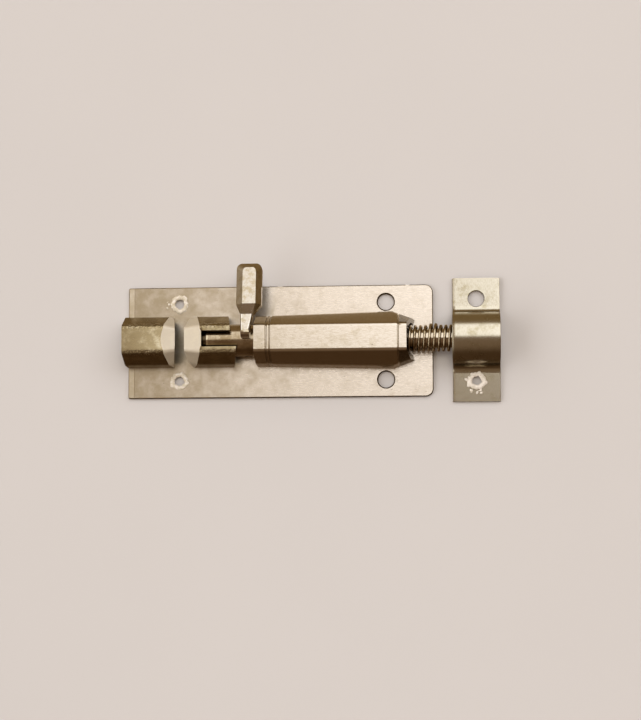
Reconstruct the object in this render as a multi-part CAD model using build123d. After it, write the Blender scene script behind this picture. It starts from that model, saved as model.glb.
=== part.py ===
from build123d import *
import os
from math import cos, pi, radians, sin, sqrt

# A surface door bolt: a plate with a tail guide, a slotted guide and a barrel, all pressed as
# one kind of hood, a round spring-loaded bolt with a turning lever, and a separate keeper.
# Millimetres. X runs along the bolt towards the keeper, Z stands out of the door, and the
# origin is the middle of the plate's four screw holes on its back face.

# Backplate
plate_length = 80.0
plate_width = 29.2
plate_thickness = 1.0
plate_middle_x = -0.65
keeper_end_corner_radius = 2.0
tail_end_corner_radius = 0.4
plate_hole_spacing_x = 54.2
plate_hole_spacing_y = 20.3
plate_hole_diameter = 4.2
countersink_width = 0.3

# Hoods: the outline that they all share, and the steel that they are pressed from
hood_wall = 1.2
hood_headroom = 0.3
hood_crown_half_width = 3.5
hood_shoulder_rise = 0.55
hood_shoulder_inset = 0.3
hood_crown_corner_radius = 1.5
hood_shoulder_radius = 2.4
guide_foot_half_width = 6.6
bevel_drop = 0.9
tab_length = 4.0
tab_thickness = 0.9
tab_overlap = 0.2
tab_clearance = 0.05

# Where the hoods end along X; an end is given at the plate and at the crown
tail_guide_end_foot = -28.5
tail_guide_end_crown = -26.7
tail_guide_bevel_length = 3.1
guide_start_foot = -23.3
guide_start_crown = -24.6
guide_bevel_length = 4.4
lever_side_end_foot = -14.6
lever_side_end_crown = -12.3
far_side_end_foot = -12.6
far_side_end_crown = -10.9
slot_start = -19.9
slot_width = 3.9
slot_end_gap = 0.1
barrel_start = -6.4
barrel_nose_start = 29.0
barrel_end_crown = 32.8
barrel_end_foot = 34.6
barrel_foot_half_width_start = 6.5
barrel_foot_half_width_nose = 7.4
barrel_foot_half_width_end = 5.3
crimp_width = 0.5
crimp_depth = 0.25
crimp_places = (-3.5, -2.6, 30.4)

# Bolt
rod_diameter = 8.4
rod_plate_gap = 0.25
rod_tail_x = -23.9
tail_groove_start = -20.1
tail_groove_end = -18.9
tail_groove_depth = 0.5
core_diameter = 5.0
running_clearance = 0.075
spigot_diameter = 3.4
spigot_length = 2.0
spigot_clearance = 0.02
tip_length = 3.0
tip_chamfer = 0.7
tip_keeper_gap = 0.4
washer_thickness = 0.6
washer_diameter = 7.4

# Bush that is crimped into the barrel
bush_start = -4.4
bush_length = 2.4
bush_clearance = 0.05
shoulder_gap = 0.3

# Spring
wire_diameter = 0.75
spring_diameter = 7.0
spring_pitch = 1.3
spring_seat_gap = 0.1

# Lever
lever_x = -8.4
stem_width = 2.2
stem_thickness = 1.6
stem_slot_gap = 0.35
tang_depth = 6.6
tang_clearance = 0.03
arm_droop_angle = 8.0
arm_underside_gap = 0.35
neck_thickness = 1.9
neck_length = 4.6
neck_overlap = 2.0
neck_wide_width = 3.8
neck_offset_x = 0.6
paddle_length = 13.2
paddle_width = 6.5
paddle_thickness = 3.4
paddle_offset_x = 0.85
paddle_corner_radius = 1.5
paddle_bevel_width = 1.35
paddle_bevel_depth = 1.5
paddle_slope_length = 2.2
paddle_slope_depth = 2.4
pin_diameter = 1.6
pin_inset = 0.2

# Keeper
keeper_start = 44.4
keeper_width = 12.3
keeper_length = 32.2
keeper_thickness = 1.2
keeper_arch_inner_radius = 5.4
keeper_flare_radius = 1.5
keeper_hole_spacing = 21.4
keeper_hole_diameter = 4.2

# Places that follow from the sizes above
rod_radius = rod_diameter / 2
core_radius = core_diameter / 2
bolt_axis_height = plate_thickness + rod_plate_gap + rod_radius
hood_shoulder_height = bolt_axis_height + hood_shoulder_rise
hood_crown_height = bolt_axis_height + rod_radius + hood_headroom + hood_wall
plate_start = plate_middle_x - plate_length / 2
bush_end = bush_start + bush_length
rod_shoulder_x = bush_start - shoulder_gap
bolt_travel = lever_x - stem_width / 2 - slot_end_gap - slot_start
tip_end_x = keeper_start + bolt_travel - tip_keeper_gap
tip_start_x = tip_end_x - tip_length
washer_start = tip_start_x - washer_thickness
far = 100.0


def axis_cylinder(start, end, radius):
    """A round bar along the bolt's axis, from start to end along X."""
    place = Plane.YZ.offset(start) * Pos(0, bolt_axis_height)
    return extrude(place * Circle(radius), amount=end - start)


def block(x_range, y_range, z_range):
    """A box between two places along each axis."""
    size = [high - low for low, high in (x_range, y_range, z_range)]
    low = [pair[0] for pair in (x_range, y_range, z_range)]
    return Pos(*low) * Box(*size, align=(Align.MIN, Align.MIN, Align.MIN))


def hood_outline(x, foot_half_width, inset=0.0):
    """The hood's outline across the bolt at x, drawn in all round by inset."""
    low = plate_thickness - hood_wall
    half = [
        (foot_half_width, low),
        (foot_half_width - hood_shoulder_inset, hood_shoulder_height),
        (hood_crown_half_width, hood_crown_height),
    ]
    mirrored = [(-y, z) for y, z in reversed(half)]
    outline = make_face(Polyline(*half, *mirrored, close=True))
    crown = outline.vertices().sort_by(Axis.Y)[-2:]
    outline = fillet(crown, hood_crown_corner_radius)
    shoulders = outline.vertices().sort_by(Axis.Y)[2:4]
    outline = fillet(shoulders, hood_shoulder_radius)
    if inset:
        outline = offset(outline, -inset, kind=Kind.INTERSECTION)
    return Plane.YZ.offset(x) * outline


def hood(stations):
    """A pressed hood, open at the plate and at both ends.

    Each station is a place along X, the half width at the feet there, and how far the
    outside is drawn in there.
    """
    outside = loft([hood_outline(x, half, drop) for x, half, drop in stations], ruled=True)
    hollow = [(x, half) for x, half, drop in stations]
    before = (hollow[0][0] - hood_wall, hollow[0][1])
    after = (hollow[-1][0] + hood_wall, hollow[-1][1])
    hollow = [before, *hollow, after]
    inside = loft([hood_outline(x, half, hood_wall) for x, half in hollow], ruled=True)
    above_plate = block((-far, far), (-far, far), (plate_thickness, far))
    return (outside - inside) & above_plate


def beyond(foot_x, crown_x, direction=1):
    """All that lies past a slanted end, towards the keeper or, where direction is -1, the tail.

    The end passes foot_x at the plate and crown_x at the crown.
    """
    slope = (crown_x - foot_x) / (hood_crown_height - plate_thickness)
    low_x = foot_x - slope * (far + plate_thickness)
    high_x = foot_x + slope * (far - plate_thickness)
    outer_x = 2 * far * direction
    side = Polyline((low_x, -far), (high_x, far), (outer_x, far), (outer_x, -far), close=True)
    return extrude(Plane.XZ * make_face(side), amount=far, both=True)


def barrel_foot(x):
    """The barrel's half width at the feet, which grows from its start to its nose."""
    share = (x - barrel_start) / (barrel_nose_start - barrel_start)
    growth = barrel_foot_half_width_nose - barrel_foot_half_width_start
    return barrel_foot_half_width_start + share * growth


def tab_places():
    """The tabs of each hood: the place along X, the side of the plate, and the foot's half width."""
    half = guide_foot_half_width
    tail_x = (plate_start + tail_guide_end_foot) / 2
    guide_x = (guide_start_foot + lever_side_end_foot) / 2
    barrel_x = (barrel_start + tab_length, barrel_nose_start - tab_length)
    return {
        "tail_guide": [(tail_x, side, half) for side in (-1, 1)],
        "slotted_guide": [(guide_x, side, half) for side in (-1, 1)],
        "barrel": [(x, side, barrel_foot(x)) for x in barrel_x for side in (-1, 1)],
    }


def tab(x, side, foot_half_width):
    """A tab under a hood's foot that is clinched through the plate and ends flush behind it."""
    y = side * (foot_half_width - hood_wall / 2)
    along = (x - tab_length / 2, x + tab_length / 2)
    across = (y - tab_thickness / 2, y + tab_thickness / 2)
    return block(along, across, (0, plate_thickness + tab_overlap))


def tab_slot(x, side, foot_half_width):
    """The slot in the plate for a tab."""
    y = side * (foot_half_width - hood_wall / 2)
    half_length = tab_length / 2 + tab_clearance
    half_thickness = tab_thickness / 2 + tab_clearance
    along = (x - half_length, x + half_length)
    return block(along, (y - half_thickness, y + half_thickness), (-far, far))


def screw_holes(spacing_x, spacing_y, diameter, thickness, middle_x=0.0):
    """Countersunk holes at the corners of a rectangle, or in a line where spacing_x is 0."""
    radius = diameter / 2
    columns = (-spacing_x / 2, spacing_x / 2) if spacing_x else (0.0,)
    holes = []
    for x in columns:
        for y in (-spacing_y / 2, spacing_y / 2):
            hole = Pos(middle_x + x, y) * Cylinder(radius, far)
            rim = Pos(middle_x + x, y, thickness - countersink_width / 2) * Cone(
                radius, radius + countersink_width, countersink_width
            )
            holes += [hole, rim]
    return holes


def make_backplate():
    """The plate, with its screw holes and the slots for the hoods' tabs."""
    outline = Rectangle(plate_length, plate_width)
    keeper_end = outline.vertices().sort_by(Axis.X)[-2:]
    outline = fillet(keeper_end, keeper_end_corner_radius)
    tail_end = outline.vertices().sort_by(Axis.X)[:2]
    outline = fillet(tail_end, tail_end_corner_radius)
    plate = extrude(Pos(plate_middle_x, 0) * outline, amount=plate_thickness)
    for hole in screw_holes(
        plate_hole_spacing_x, plate_hole_spacing_y, plate_hole_diameter, plate_thickness
    ):
        plate -= hole
    for places in tab_places().values():
        for place in places:
            plate -= tab_slot(*place)
    return plate


def with_tabs(shape, name):
    """A hood with its own tabs added under its feet."""
    for place in tab_places()[name]:
        shape += tab(*place)
    return shape


def make_tail_guide():
    """The hood at the tail end, bevelled where it faces the slotted guide."""
    half = guide_foot_half_width
    guide = hood(
        [
            (plate_start, half, 0),
            (tail_guide_end_crown - tail_guide_bevel_length, half, 0),
            (tail_guide_end_crown, half, bevel_drop),
        ]
    )
    guide -= beyond(tail_guide_end_foot, tail_guide_end_crown)
    return with_tabs(guide, "tail_guide")


def make_slotted_guide():
    """The hood that the lever slides through.

    Its bevelled end closes the slot, and its other end reaches nearer to the lever on one side.
    """
    half = guide_foot_half_width
    guide = hood(
        [
            (guide_start_crown, half, bevel_drop),
            (guide_start_crown + guide_bevel_length, half, 0),
            (far_side_end_crown, half, 0),
        ]
    )
    guide -= beyond(guide_start_foot, guide_start_crown, direction=-1)
    guide -= beyond(far_side_end_foot, far_side_end_crown)
    lever_side = block((-far, far), (0, far), (-far, far))
    guide -= beyond(lever_side_end_foot, lever_side_end_crown) & lever_side
    slot_sides = (-slot_width / 2, slot_width / 2)
    guide -= block((slot_start, far), slot_sides, (bolt_axis_height, far))
    return with_tabs(guide, "slotted_guide")


def crimp(x):
    """The shallow groove that is rolled over the barrel's crown and flanks at x."""
    ends = (x, x + crimp_width)
    floor = loft([hood_outline(end, barrel_foot(end), crimp_depth) for end in ends], ruled=True)
    return block(ends, (-far, far), (plate_thickness + hood_wall, far)) - floor


def make_barrel():
    """The long hood over the spring, with rolled crimps and a narrowing nose."""
    barrel = hood(
        [
            (barrel_start, barrel_foot_half_width_start, 0),
            (barrel_nose_start, barrel_foot_half_width_nose, 0),
            (barrel_end_foot, barrel_foot_half_width_end, 0),
        ]
    )
    barrel -= beyond(barrel_end_foot, barrel_end_crown)
    for x in crimp_places:
        barrel -= crimp(x)
    return with_tabs(barrel, "barrel")


def make_spring_seat_bush():
    """The collar that fills the barrel, with a running bore for the rod's core."""
    inset = hood_wall + bush_clearance
    ends = [(x, barrel_foot(x)) for x in (bush_start, bush_end)]
    collar = loft([hood_outline(x, half, inset) for x, half in ends], ruled=True)
    return collar - axis_cylinder(-far, far, core_radius + running_clearance)


def tang_space(clearance=0.0):
    """The lever's tang, or the slot for it in the rod where it gets a clearance."""
    across = stem_y_range()
    low = bolt_axis_height + rod_radius - tang_depth
    high = hood_crown_height + arm_underside_gap + neck_thickness / 2
    return block(
        (lever_x - stem_width / 2 - clearance, lever_x + stem_width / 2 + clearance),
        (across[0] - clearance, across[1] + clearance),
        (low - clearance, high),
    )


def stem_y_range():
    """The stem's two faces across the slot: it stands against the slot's far side."""
    high = slot_width / 2 - stem_slot_gap
    return (high - stem_thickness, high)


def make_bolt_rod():
    """The rod: a domed tail with a groove, a thin core through the spring, and a spigot."""
    tail_middle = rod_tail_x + rod_radius
    rod = axis_cylinder(tail_middle, rod_shoulder_x, rod_radius)
    rod += Pos(tail_middle, 0, bolt_axis_height) * Sphere(rod_radius)
    groove = axis_cylinder(tail_groove_start, tail_groove_end, rod_diameter)
    rod -= groove - axis_cylinder(-far, far, rod_radius - tail_groove_depth)
    rod += axis_cylinder(rod_shoulder_x, tip_start_x, core_radius)
    rod += axis_cylinder(tip_start_x, tip_start_x + spigot_length, spigot_diameter / 2)
    rod -= tang_space(tang_clearance)
    return rod - cross_pin(tang_clearance)


def cross_pin(clearance=0.0):
    """The pin across the rod and the lever's tang, or its hole where it gets a clearance."""
    half_length = far if clearance else rod_radius - pin_inset
    place = Pos(lever_x, 0, bolt_axis_height) * Rot(90, 0, 0)
    return place * Cylinder(pin_diameter / 2 + clearance, 2 * half_length)


def make_bolt_tip():
    """The bolt's head, bored for the rod's spigot and chamfered for the keeper."""
    tip = axis_cylinder(tip_start_x, tip_end_x, rod_radius)
    end_rim = tip.faces().sort_by(Axis.X)[-1].edges()
    tip = chamfer(end_rim, tip_chamfer)
    bore_end = tip_start_x + spigot_length + spigot_clearance
    return tip - axis_cylinder(-far, bore_end, spigot_diameter / 2 + spigot_clearance)


def make_thrust_washer():
    """The ring that the spring pushes on, loose on the core behind the tip."""
    ring = axis_cylinder(washer_start, tip_start_x, washer_diameter / 2)
    return ring - axis_cylinder(-far, far, core_radius + running_clearance)


def helix_point(turn, radius, start_x, pitch):
    """A point of the spring's centre line, and its direction there, after some turns."""
    angle = 2 * pi * turn
    point = Vector(
        start_x + pitch * turn,
        radius * sin(angle),
        bolt_axis_height + radius * cos(angle),
    )
    direction = Vector(pitch, 2 * pi * radius * cos(angle), -2 * pi * radius * sin(angle))
    return point, direction.normalized()


def biarc(start, start_direction, end, end_direction):
    """Two tangent arcs from one directed point to another."""
    span = end - start
    both = start_direction + end_direction
    bend = 2 * (1 - start_direction.dot(end_direction))
    along = span.dot(both)
    reach = (sqrt(along**2 + bend * span.dot(span)) - along) / bend
    middle = (start + start_direction * reach + end - end_direction * reach) * 0.5
    first = TangentArc(start, middle, tangent=start_direction)
    second = TangentArc(middle, end, tangent=first % 1)
    return [first, second]


def make_compression_spring():
    """The coil between the bush and the washer, as one unbroken tube."""
    wire_radius = wire_diameter / 2
    coil_radius = spring_diameter / 2 - wire_radius
    start_x = bush_end + spring_seat_gap + wire_radius
    end_x = washer_start - spring_seat_gap - wire_radius
    half_turns = round(2 * (end_x - start_x) / spring_pitch)
    pitch = 2 * (end_x - start_x) / half_turns
    knots = [helix_point(n / 2, coil_radius, start_x, pitch) for n in range(half_turns + 1)]
    arcs = []
    for (start, leaving), (end, arriving) in zip(knots, knots[1:]):
        arcs += biarc(start, leaving, end, arriving)
    path = Wire(arcs)
    report_least_gap(arcs)
    section = Plane(origin=knots[0][0], z_dir=knots[0][1]) * Circle(wire_radius)
    return sweep(section, path=path)


def report_least_gap(arcs):
    """Measures on points how near the wire comes to its next turn, and prints it."""
    samples = 24
    points = [arc @ (n / samples) for arc in arcs for n in range(samples)]
    half_turn = 2 * samples
    least = min(
        (points[i] - points[j]).length
        for i in range(len(points))
        for j in range(i + half_turn, min(i + 3 * half_turn, len(points)))
    )
    print(f"least gap of the spring to itself: {least - wire_diameter:.3f} mm")


def make_lever_handle():
    """The lever: a tang in the rod, a stem in the slot line, and a bevelled paddle beside it."""
    droop = radians(arm_droop_angle)
    along = Vector(0, cos(droop), -sin(droop))
    outward = Vector(0, sin(droop), cos(droop))
    root = Vector(lever_x, stem_y_range()[1], hood_crown_height + arm_underside_gap)
    root_plane = Plane(origin=root, x_dir=(1, 0, 0), z_dir=outward)
    root_length = stem_thickness / cos(droop)
    elbow = Pos(0, -root_length / 2, neck_thickness / 2) * Box(
        stem_width, root_length, neck_thickness
    )

    neck_end = root + along * (neck_length + neck_overlap) + Vector(neck_offset_x, 0, 0)
    neck = loft(
        [
            neck_section(root, along, stem_width),
            neck_section(neck_end, along, neck_wide_width),
        ],
        ruled=True,
    )
    sink = (paddle_thickness - neck_thickness) / 2
    paddle_root = root + along * neck_length - outward * sink + Vector(paddle_offset_x, 0, 0)
    paddle_plane = Plane(origin=paddle_root, x_dir=(1, 0, 0), z_dir=outward)
    lever = tang_space() + root_plane * elbow + neck + paddle_plane * paddle()
    return lever - cross_pin(tang_clearance)


def neck_section(middle, along, width):
    """The neck's section across its length, standing on the underside at its middle."""
    place = Plane(origin=middle, x_dir=(1, 0, 0), z_dir=along)
    return place * Pos(0, -neck_thickness / 2) * Rectangle(width, neck_thickness)


def paddle():
    """The thumb piece, lying flat with its inner end at the origin.

    It is bevelled round its face, and its inner end slopes down to the neck.
    """
    outline = Pos(0, paddle_length / 2) * Rectangle(paddle_width, paddle_length)
    outer_corners = outline.vertices().sort_by(Axis.Y)[-2:]
    outline = fillet(outer_corners, paddle_corner_radius)
    slab = extrude(outline, amount=paddle_thickness)
    face_edges = slab.faces().sort_by(Axis.Z)[-1].edges()
    slab = chamfer(face_edges, length=paddle_bevel_depth, length2=paddle_bevel_width)
    top = paddle_thickness
    low = top - paddle_slope_depth
    slope = Polyline((0, low), (paddle_slope_length, top), (0, top), close=True)
    return slab - extrude(Plane.YZ * make_face(slope), amount=paddle_width, both=True)


def make_keeper():
    """The strap with the arch that takes the bolt's tip, and its two screw holes."""
    inner = keeper_arch_inner_radius
    outer = inner + keeper_thickness
    flare = keeper_flare_radius
    inner_flare = flare + keeper_thickness
    foot_y = outer + flare
    end_y = keeper_length / 2
    top = keeper_thickness
    upper = [
        Line((end_y, 0), (end_y, top)),
        Line((end_y, top), (foot_y, top)),
        RadiusArc((foot_y, top), (outer, top + flare), -flare),
        Line((outer, top + flare), (outer, bolt_axis_height)),
        ThreePointArc((outer, bolt_axis_height), (0, bolt_axis_height + outer), (-outer, bolt_axis_height)),
        Line((-outer, bolt_axis_height), (-outer, top + flare)),
        RadiusArc((-outer, top + flare), (-foot_y, top), -flare),
        Line((-foot_y, top), (-end_y, top)),
        Line((-end_y, top), (-end_y, 0)),
    ]
    lower = [
        Line((-end_y, 0), (-foot_y, 0)),
        RadiusArc((-foot_y, 0), (-inner, inner_flare), inner_flare),
        Line((-inner, inner_flare), (-inner, bolt_axis_height)),
        ThreePointArc((-inner, bolt_axis_height), (0, bolt_axis_height + inner), (inner, bolt_axis_height)),
        Line((inner, bolt_axis_height), (inner, inner_flare)),
        RadiusArc((inner, inner_flare), (foot_y, 0), inner_flare),
        Line((foot_y, 0), (end_y, 0)),
    ]
    outline = make_face(Wire(upper + lower))
    keeper = extrude(Plane.YZ.offset(keeper_start) * outline, amount=keeper_width)
    middle = keeper_start + keeper_width / 2
    for hole in screw_holes(
        0, keeper_hole_spacing, keeper_hole_diameter, keeper_thickness, middle
    ):
        keeper -= hole
    return keeper


makers = {
    "backplate": make_backplate,
    "tail_guide": make_tail_guide,
    "slotted_guide": make_slotted_guide,
    "barrel": make_barrel,
    "spring_seat_bush": make_spring_seat_bush,
    "bolt_rod": make_bolt_rod,
    "bolt_tip": make_bolt_tip,
    "thrust_washer": make_thrust_washer,
    "compression_spring": make_compression_spring,
    "lever_handle": make_lever_handle,
    "lever_pin": cross_pin,
    "keeper": make_keeper,
}

os.makedirs("parts", exist_ok=True)
for name, make in makers.items():
    export_step(make(), f"parts/{name}.step")
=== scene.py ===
from math import atan2, cos, pi, radians, sin, tan
from random import Random

import bmesh
import bpy
from bpy.props import FloatProperty, FloatVectorProperty, IntProperty, PointerProperty
from mathutils import Matrix, Vector


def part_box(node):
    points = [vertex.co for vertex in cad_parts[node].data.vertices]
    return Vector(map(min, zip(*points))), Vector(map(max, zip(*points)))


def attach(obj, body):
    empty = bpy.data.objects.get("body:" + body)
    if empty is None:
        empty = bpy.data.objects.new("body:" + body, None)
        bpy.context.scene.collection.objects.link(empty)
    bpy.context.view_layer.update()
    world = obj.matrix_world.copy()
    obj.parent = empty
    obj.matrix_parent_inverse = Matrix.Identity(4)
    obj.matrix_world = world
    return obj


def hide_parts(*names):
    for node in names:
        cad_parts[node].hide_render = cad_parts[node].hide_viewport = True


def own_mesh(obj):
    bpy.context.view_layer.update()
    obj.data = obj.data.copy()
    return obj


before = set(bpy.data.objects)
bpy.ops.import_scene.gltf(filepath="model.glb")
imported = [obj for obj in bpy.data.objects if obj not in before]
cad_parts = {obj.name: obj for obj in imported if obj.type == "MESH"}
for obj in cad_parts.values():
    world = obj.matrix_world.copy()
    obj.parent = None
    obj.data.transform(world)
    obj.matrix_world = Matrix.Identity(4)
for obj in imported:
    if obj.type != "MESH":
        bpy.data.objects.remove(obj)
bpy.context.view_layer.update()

bl_info = {
    "name": "Door bolt",
    "version": (1, 0, 0),
    "blender": (4, 5, 0),
    "location": "3D View > Sidebar > Door bolt",
    "description": "Models a surface door bolt with its hoods, rod, spring, lever and keeper",
    "category": "Object",
}

# One millimetre in metres, how close counts as the same place, the length of a tool that goes
# right through a piece, and how flat torn metal lies
MM = 0.001
NEAR = 0.01 * MM
THROUGH = 10 * MM
FLATNESS = 0.4

# Crumbs beside a hole: each one's place along and across, and its radius, in millimetres
TAIL_HOLE_CRUMBS = ((-3.3, -0.9, 0.35), (-2.9, 0, 0.45), (-3.2, 0.6, 0.3))
FRONT_HOLE_CRUMBS = ((2.7, 0.7, 0.25), (2.8, -0.3, 0.3), (1.3, -2.5, 0.3))
STRAP_HOLE_CRUMBS = ((-2.6, 0.3, 0.7),)


# Sizes and colours that a user can change

def size(name, millimetres, description):
    """A length of the bolt, given in millimetres and kept in metres."""
    return FloatProperty(
        name=name,
        description=description,
        default=millimetres * MM,
        unit="LENGTH",
        subtype="DISTANCE",
        precision=5,
    )


def colour(name, value, description):
    """A colour of one finish."""
    return FloatVectorProperty(
        name=name, description=description, default=value, size=3, min=0, max=1, subtype="COLOR"
    )


def share(name, value, description, high=1.0):
    """A plain number from nothing up to a limit."""
    return FloatProperty(name=name, description=description, default=value, min=0, max=high)


def turn(name, degrees, description):
    """An angle, given in degrees."""
    return FloatProperty(
        name=name, description=description, default=radians(degrees), subtype="ANGLE"
    )


class PlateSizes(bpy.types.PropertyGroup):
    """The stamped plate."""

    length: size("Length", 80.0, "Length of the plate along the bolt")
    width: size("Width", 29.2, "Width of the plate")
    thickness: size("Thickness", 1.0, "Thickness of the sheet")
    middle_x: size("Middle", -0.65, "Place of the plate's middle from the middle of its holes")
    keeper_corner: size("Keeper corners", 2.0, "Radius of the two corners towards the keeper")
    tail_corner: size("Tail corners", 0.4, "Radius of the two corners at the tail")
    hole_spacing_x: size("Hole spacing along", 54.2, "Distance of the holes along the bolt")
    hole_spacing_y: size("Hole spacing across", 20.3, "Distance of the holes across the bolt")
    hole_diameter: size("Hole diameter", 4.2, "Diameter of the screw holes")
    countersink: size("Countersink", 0.3, "Width and depth of the rim round each hole")
    edge: size("Edge radius", 0.22, "Radius of the sheet's edges")
    end_roll: size("Tail band", 1.5, "Width of the band that the shear left at the tail")
    end_drop: size("Tail crease", 0.10, "Depth of the crease beside that band")
    slot_clearance: size("Slot clearance", 0.05, "Gap round the hoods' tabs in their slots")
    nick: size("Nick", 0.25, "Depth of the nicks in the plate's edge")
    middle_nick_x: size("Middle nick", -0.5, "Place of the nick near the plate's middle")
    middle_nick_radius: size("Middle nick radius", 1.4, "Radius of that nick")
    corner_nick_x: size("Corner nick", 32.8, "Place of the nick near the keeper's corner")
    corner_nick_radius: size("Corner nick radius", 1.1, "Radius of that nick")
    torn_rim: size("Torn rim", 0.1, "Width and depth of the rim round a torn hole")
    torn_wander: size("Torn edge", 0.16, "How uneven a torn hole's edge is")
    torn_ridge: size("Torn ridge", 1.2, "Width of the ridge of torn metal round a hole")


class HoodSizes(bpy.types.PropertyGroup):
    """The pressed hoods: tail guide, slotted guide and barrel."""

    wall: size("Wall", 1.2, "Thickness of the pressed sheet")
    crown_height: size("Crown height", 11.15, "Height of the flat crown above the door")
    crown_half_width: size("Crown half width", 3.5, "Half the width of the flat crown")
    shoulder_height: size("Shoulder height", 6.0, "Height of the bend below the crown")
    shoulder_inset: size("Shoulder inset", 0.3, "How far the shoulder stands in from the foot")
    crown_bend: size("Crown bend", 1.25, "Outside radius of the bends beside the crown")
    shoulder_bend: size("Shoulder bend", 2.4, "Outside radius of the shoulder bends")
    guide_foot: size("Guide foot", 6.6, "Half width of the guides at the plate")
    bevel_drop: size("Bevel drop", 0.9, "Depth of the ground bevels at the guides' ends")
    bevel_bow: size("Bevel bow", 0.6, "How far the bevels reach on in the crown's middle")
    edge: size("Edge radius", 0.15, "Radius of the cut edges")
    slot_start: size("Slot start", -19.9, "Closed end of the slot that the lever slides in")
    slot_width: size("Slot", 3.9, "Width of that slot")
    slot_sink: size("Slot sink", 0.25, "How far the slot's edges are pressed down")
    crimp_width: size("Crimp width", 0.5, "Width of the rolled crimps")
    crimp_depth: size("Crimp depth", 0.25, "Depth of the rolled crimps")
    first_crimp: size("First crimp", -3.5, "Start of the first crimp in the barrel")
    second_crimp: size("Second crimp", -2.6, "Start of the second crimp in the barrel")
    nose_crimp: size("Nose crimp", 30.4, "Start of the crimp at the barrel's nose")
    tab_length: size("Tab length", 4.0, "Length of the tabs that are clinched behind the plate")
    tab_thickness: size("Tab thickness", 0.9, "Thickness of those tabs")
    tab_edge: size("Tab edge radius", 0.1, "Radius of the tabs' edges")
    barrel_foot: size("Barrel foot", 6.5, "Half width of the barrel's feet at its start")
    nose_foot: size("Nose foot", 7.4, "Half width of the barrel's feet at its nose")
    end_foot: size("End foot", 5.3, "Half width of the barrel's feet at its end")


class HoodPlaces(bpy.types.PropertyGroup):
    """Where the hoods end along the bolt, each at the plate and at the crown."""

    tail_end_foot: size("Tail guide end, foot", -28.5, "End of the tail guide at the plate")
    tail_end_crown: size("Tail guide end, crown", -26.7, "End of the tail guide at the crown")
    tail_bevel_foot: size("Tail bevel, foot", -28.3, "Start of its bevel at the plate")
    tail_bevel_crown: size("Tail bevel, crown", -29.8, "Start of its bevel at the crown")
    guide_foot: size("Guide start, foot", -23.3, "Start of the slotted guide at the plate")
    guide_crown: size("Guide start, crown", -24.6, "Start of the slotted guide at the crown")
    guide_bevel_foot: size("Guide bevel, foot", -23.1, "End of its bevel at the plate")
    guide_bevel_crown: size("Guide bevel, crown", -20.3, "End of its bevel at the crown")
    near_end_foot: size("Lever side, foot", -14.6, "Guide's end at the plate, lever side")
    near_end_crown: size("Lever side, crown", -12.3, "Guide's end at the crown, lever side")
    far_end_foot: size("Far side, foot", -12.6, "Guide's end at the plate, far side")
    far_end_crown: size("Far side, crown", -10.9, "Guide's end at the crown, far side")
    barrel_start: size("Barrel start", -6.4, "Start of the barrel")
    nose: size("Nose", 29.0, "Where the barrel's nose starts to narrow")
    barrel_end_foot: size("Barrel end, foot", 34.6, "End of the barrel at the plate")
    barrel_end_crown: size("Barrel end, crown", 32.8, "End of the barrel at the crown")


class SpringSizes(bpy.types.PropertyGroup):
    """The spring round the bolt's core."""

    axis_height: size("Axis height", 5.45, "Height of the bolt's axis above the door")
    wire: size("Wire", 0.75, "Diameter of the spring's wire")
    diameter: size("Diameter", 7.0, "Outside diameter of the spring")
    turns: IntProperty(name="Turns", description="Turns of the wire", default=40, min=1)
    steps: IntProperty(name="Steps", description="Straight pieces in a turn", default=28, min=8)
    proud_x: size("Proud turn", 39.7, "Place of the one turn that stands proud")
    proud_rise: size("Proud rise", 0.4, "How far that turn stands proud")
    proud_reach: size("Proud reach", 5.0, "How far it pulls its neighbours along")


class LeverSizes(bpy.types.PropertyGroup):
    """The lever that turns and slides the bolt."""

    x: size("Place", -8.4, "Place of the lever's stem along the bolt")
    stem_width: size("Stem width", 2.2, "Width of the stem along the bolt")
    stem_thickness: size("Stem thickness", 1.6, "Thickness of the stem across the slot")
    tang_depth: size("Tang depth", 6.6, "How deep the tang stands in the rod")
    rod_radius: size("Rod radius", 4.2, "Radius of the rod that holds the tang")
    pin_radius: size("Pin radius", 0.83, "Radius of the pin's hole through the tang")
    underside_gap: size("Underside gap", 0.35, "Gap between the neck and the crown")
    droop: turn("Droop", 8.0, "How far the arm droops outwards")
    neck_thickness: size("Neck thickness", 1.9, "Thickness of the neck")
    neck_length: size("Neck length", 4.6, "Length of the neck up to the thumb piece")
    neck_overlap: size("Neck overlap", 2.0, "How far the neck reaches into the thumb piece")
    neck_wide: size("Neck wide end", 3.8, "Width of the neck at the thumb piece")
    neck_edge: size("Neck edge radius", 0.45, "Radius of the neck's long upper edges")
    neck_offset: size("Neck offset", 0.6, "How far its wide end stands towards the keeper")
    paddle_length: size("Thumb piece length", 13.2, "Length of the thumb piece")
    paddle_width: size("Thumb piece width", 6.5, "Width of the thumb piece")
    paddle_thickness: size("Thumb piece thickness", 3.4, "Thickness of the thumb piece")
    paddle_offset: size("Thumb piece offset", 0.85, "How far it stands towards the keeper")
    paddle_corner: size("Thumb piece corners", 1.5, "Radius of its two outer corners")
    tail_bevel: size("Tail side bevel", 1.75, "Width of the bevel towards the tail")
    keeper_bevel: size("Keeper side bevel", 1.35, "Width of the bevel towards the keeper")
    end_bevel: size("End bevel", 1.4, "Width of the bevel at the outer end")
    bevel_depth: size("Bevel depth", 1.5, "Depth of the bevels")
    slope_length: size("Slope length", 2.2, "Length of the slope on the thumb piece")
    slope_reach: size("Slope reach", 0.4, "How far that slope runs out over the neck")
    edge: size("Edge radius", 0.2, "Radius of the worn edges")


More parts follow.
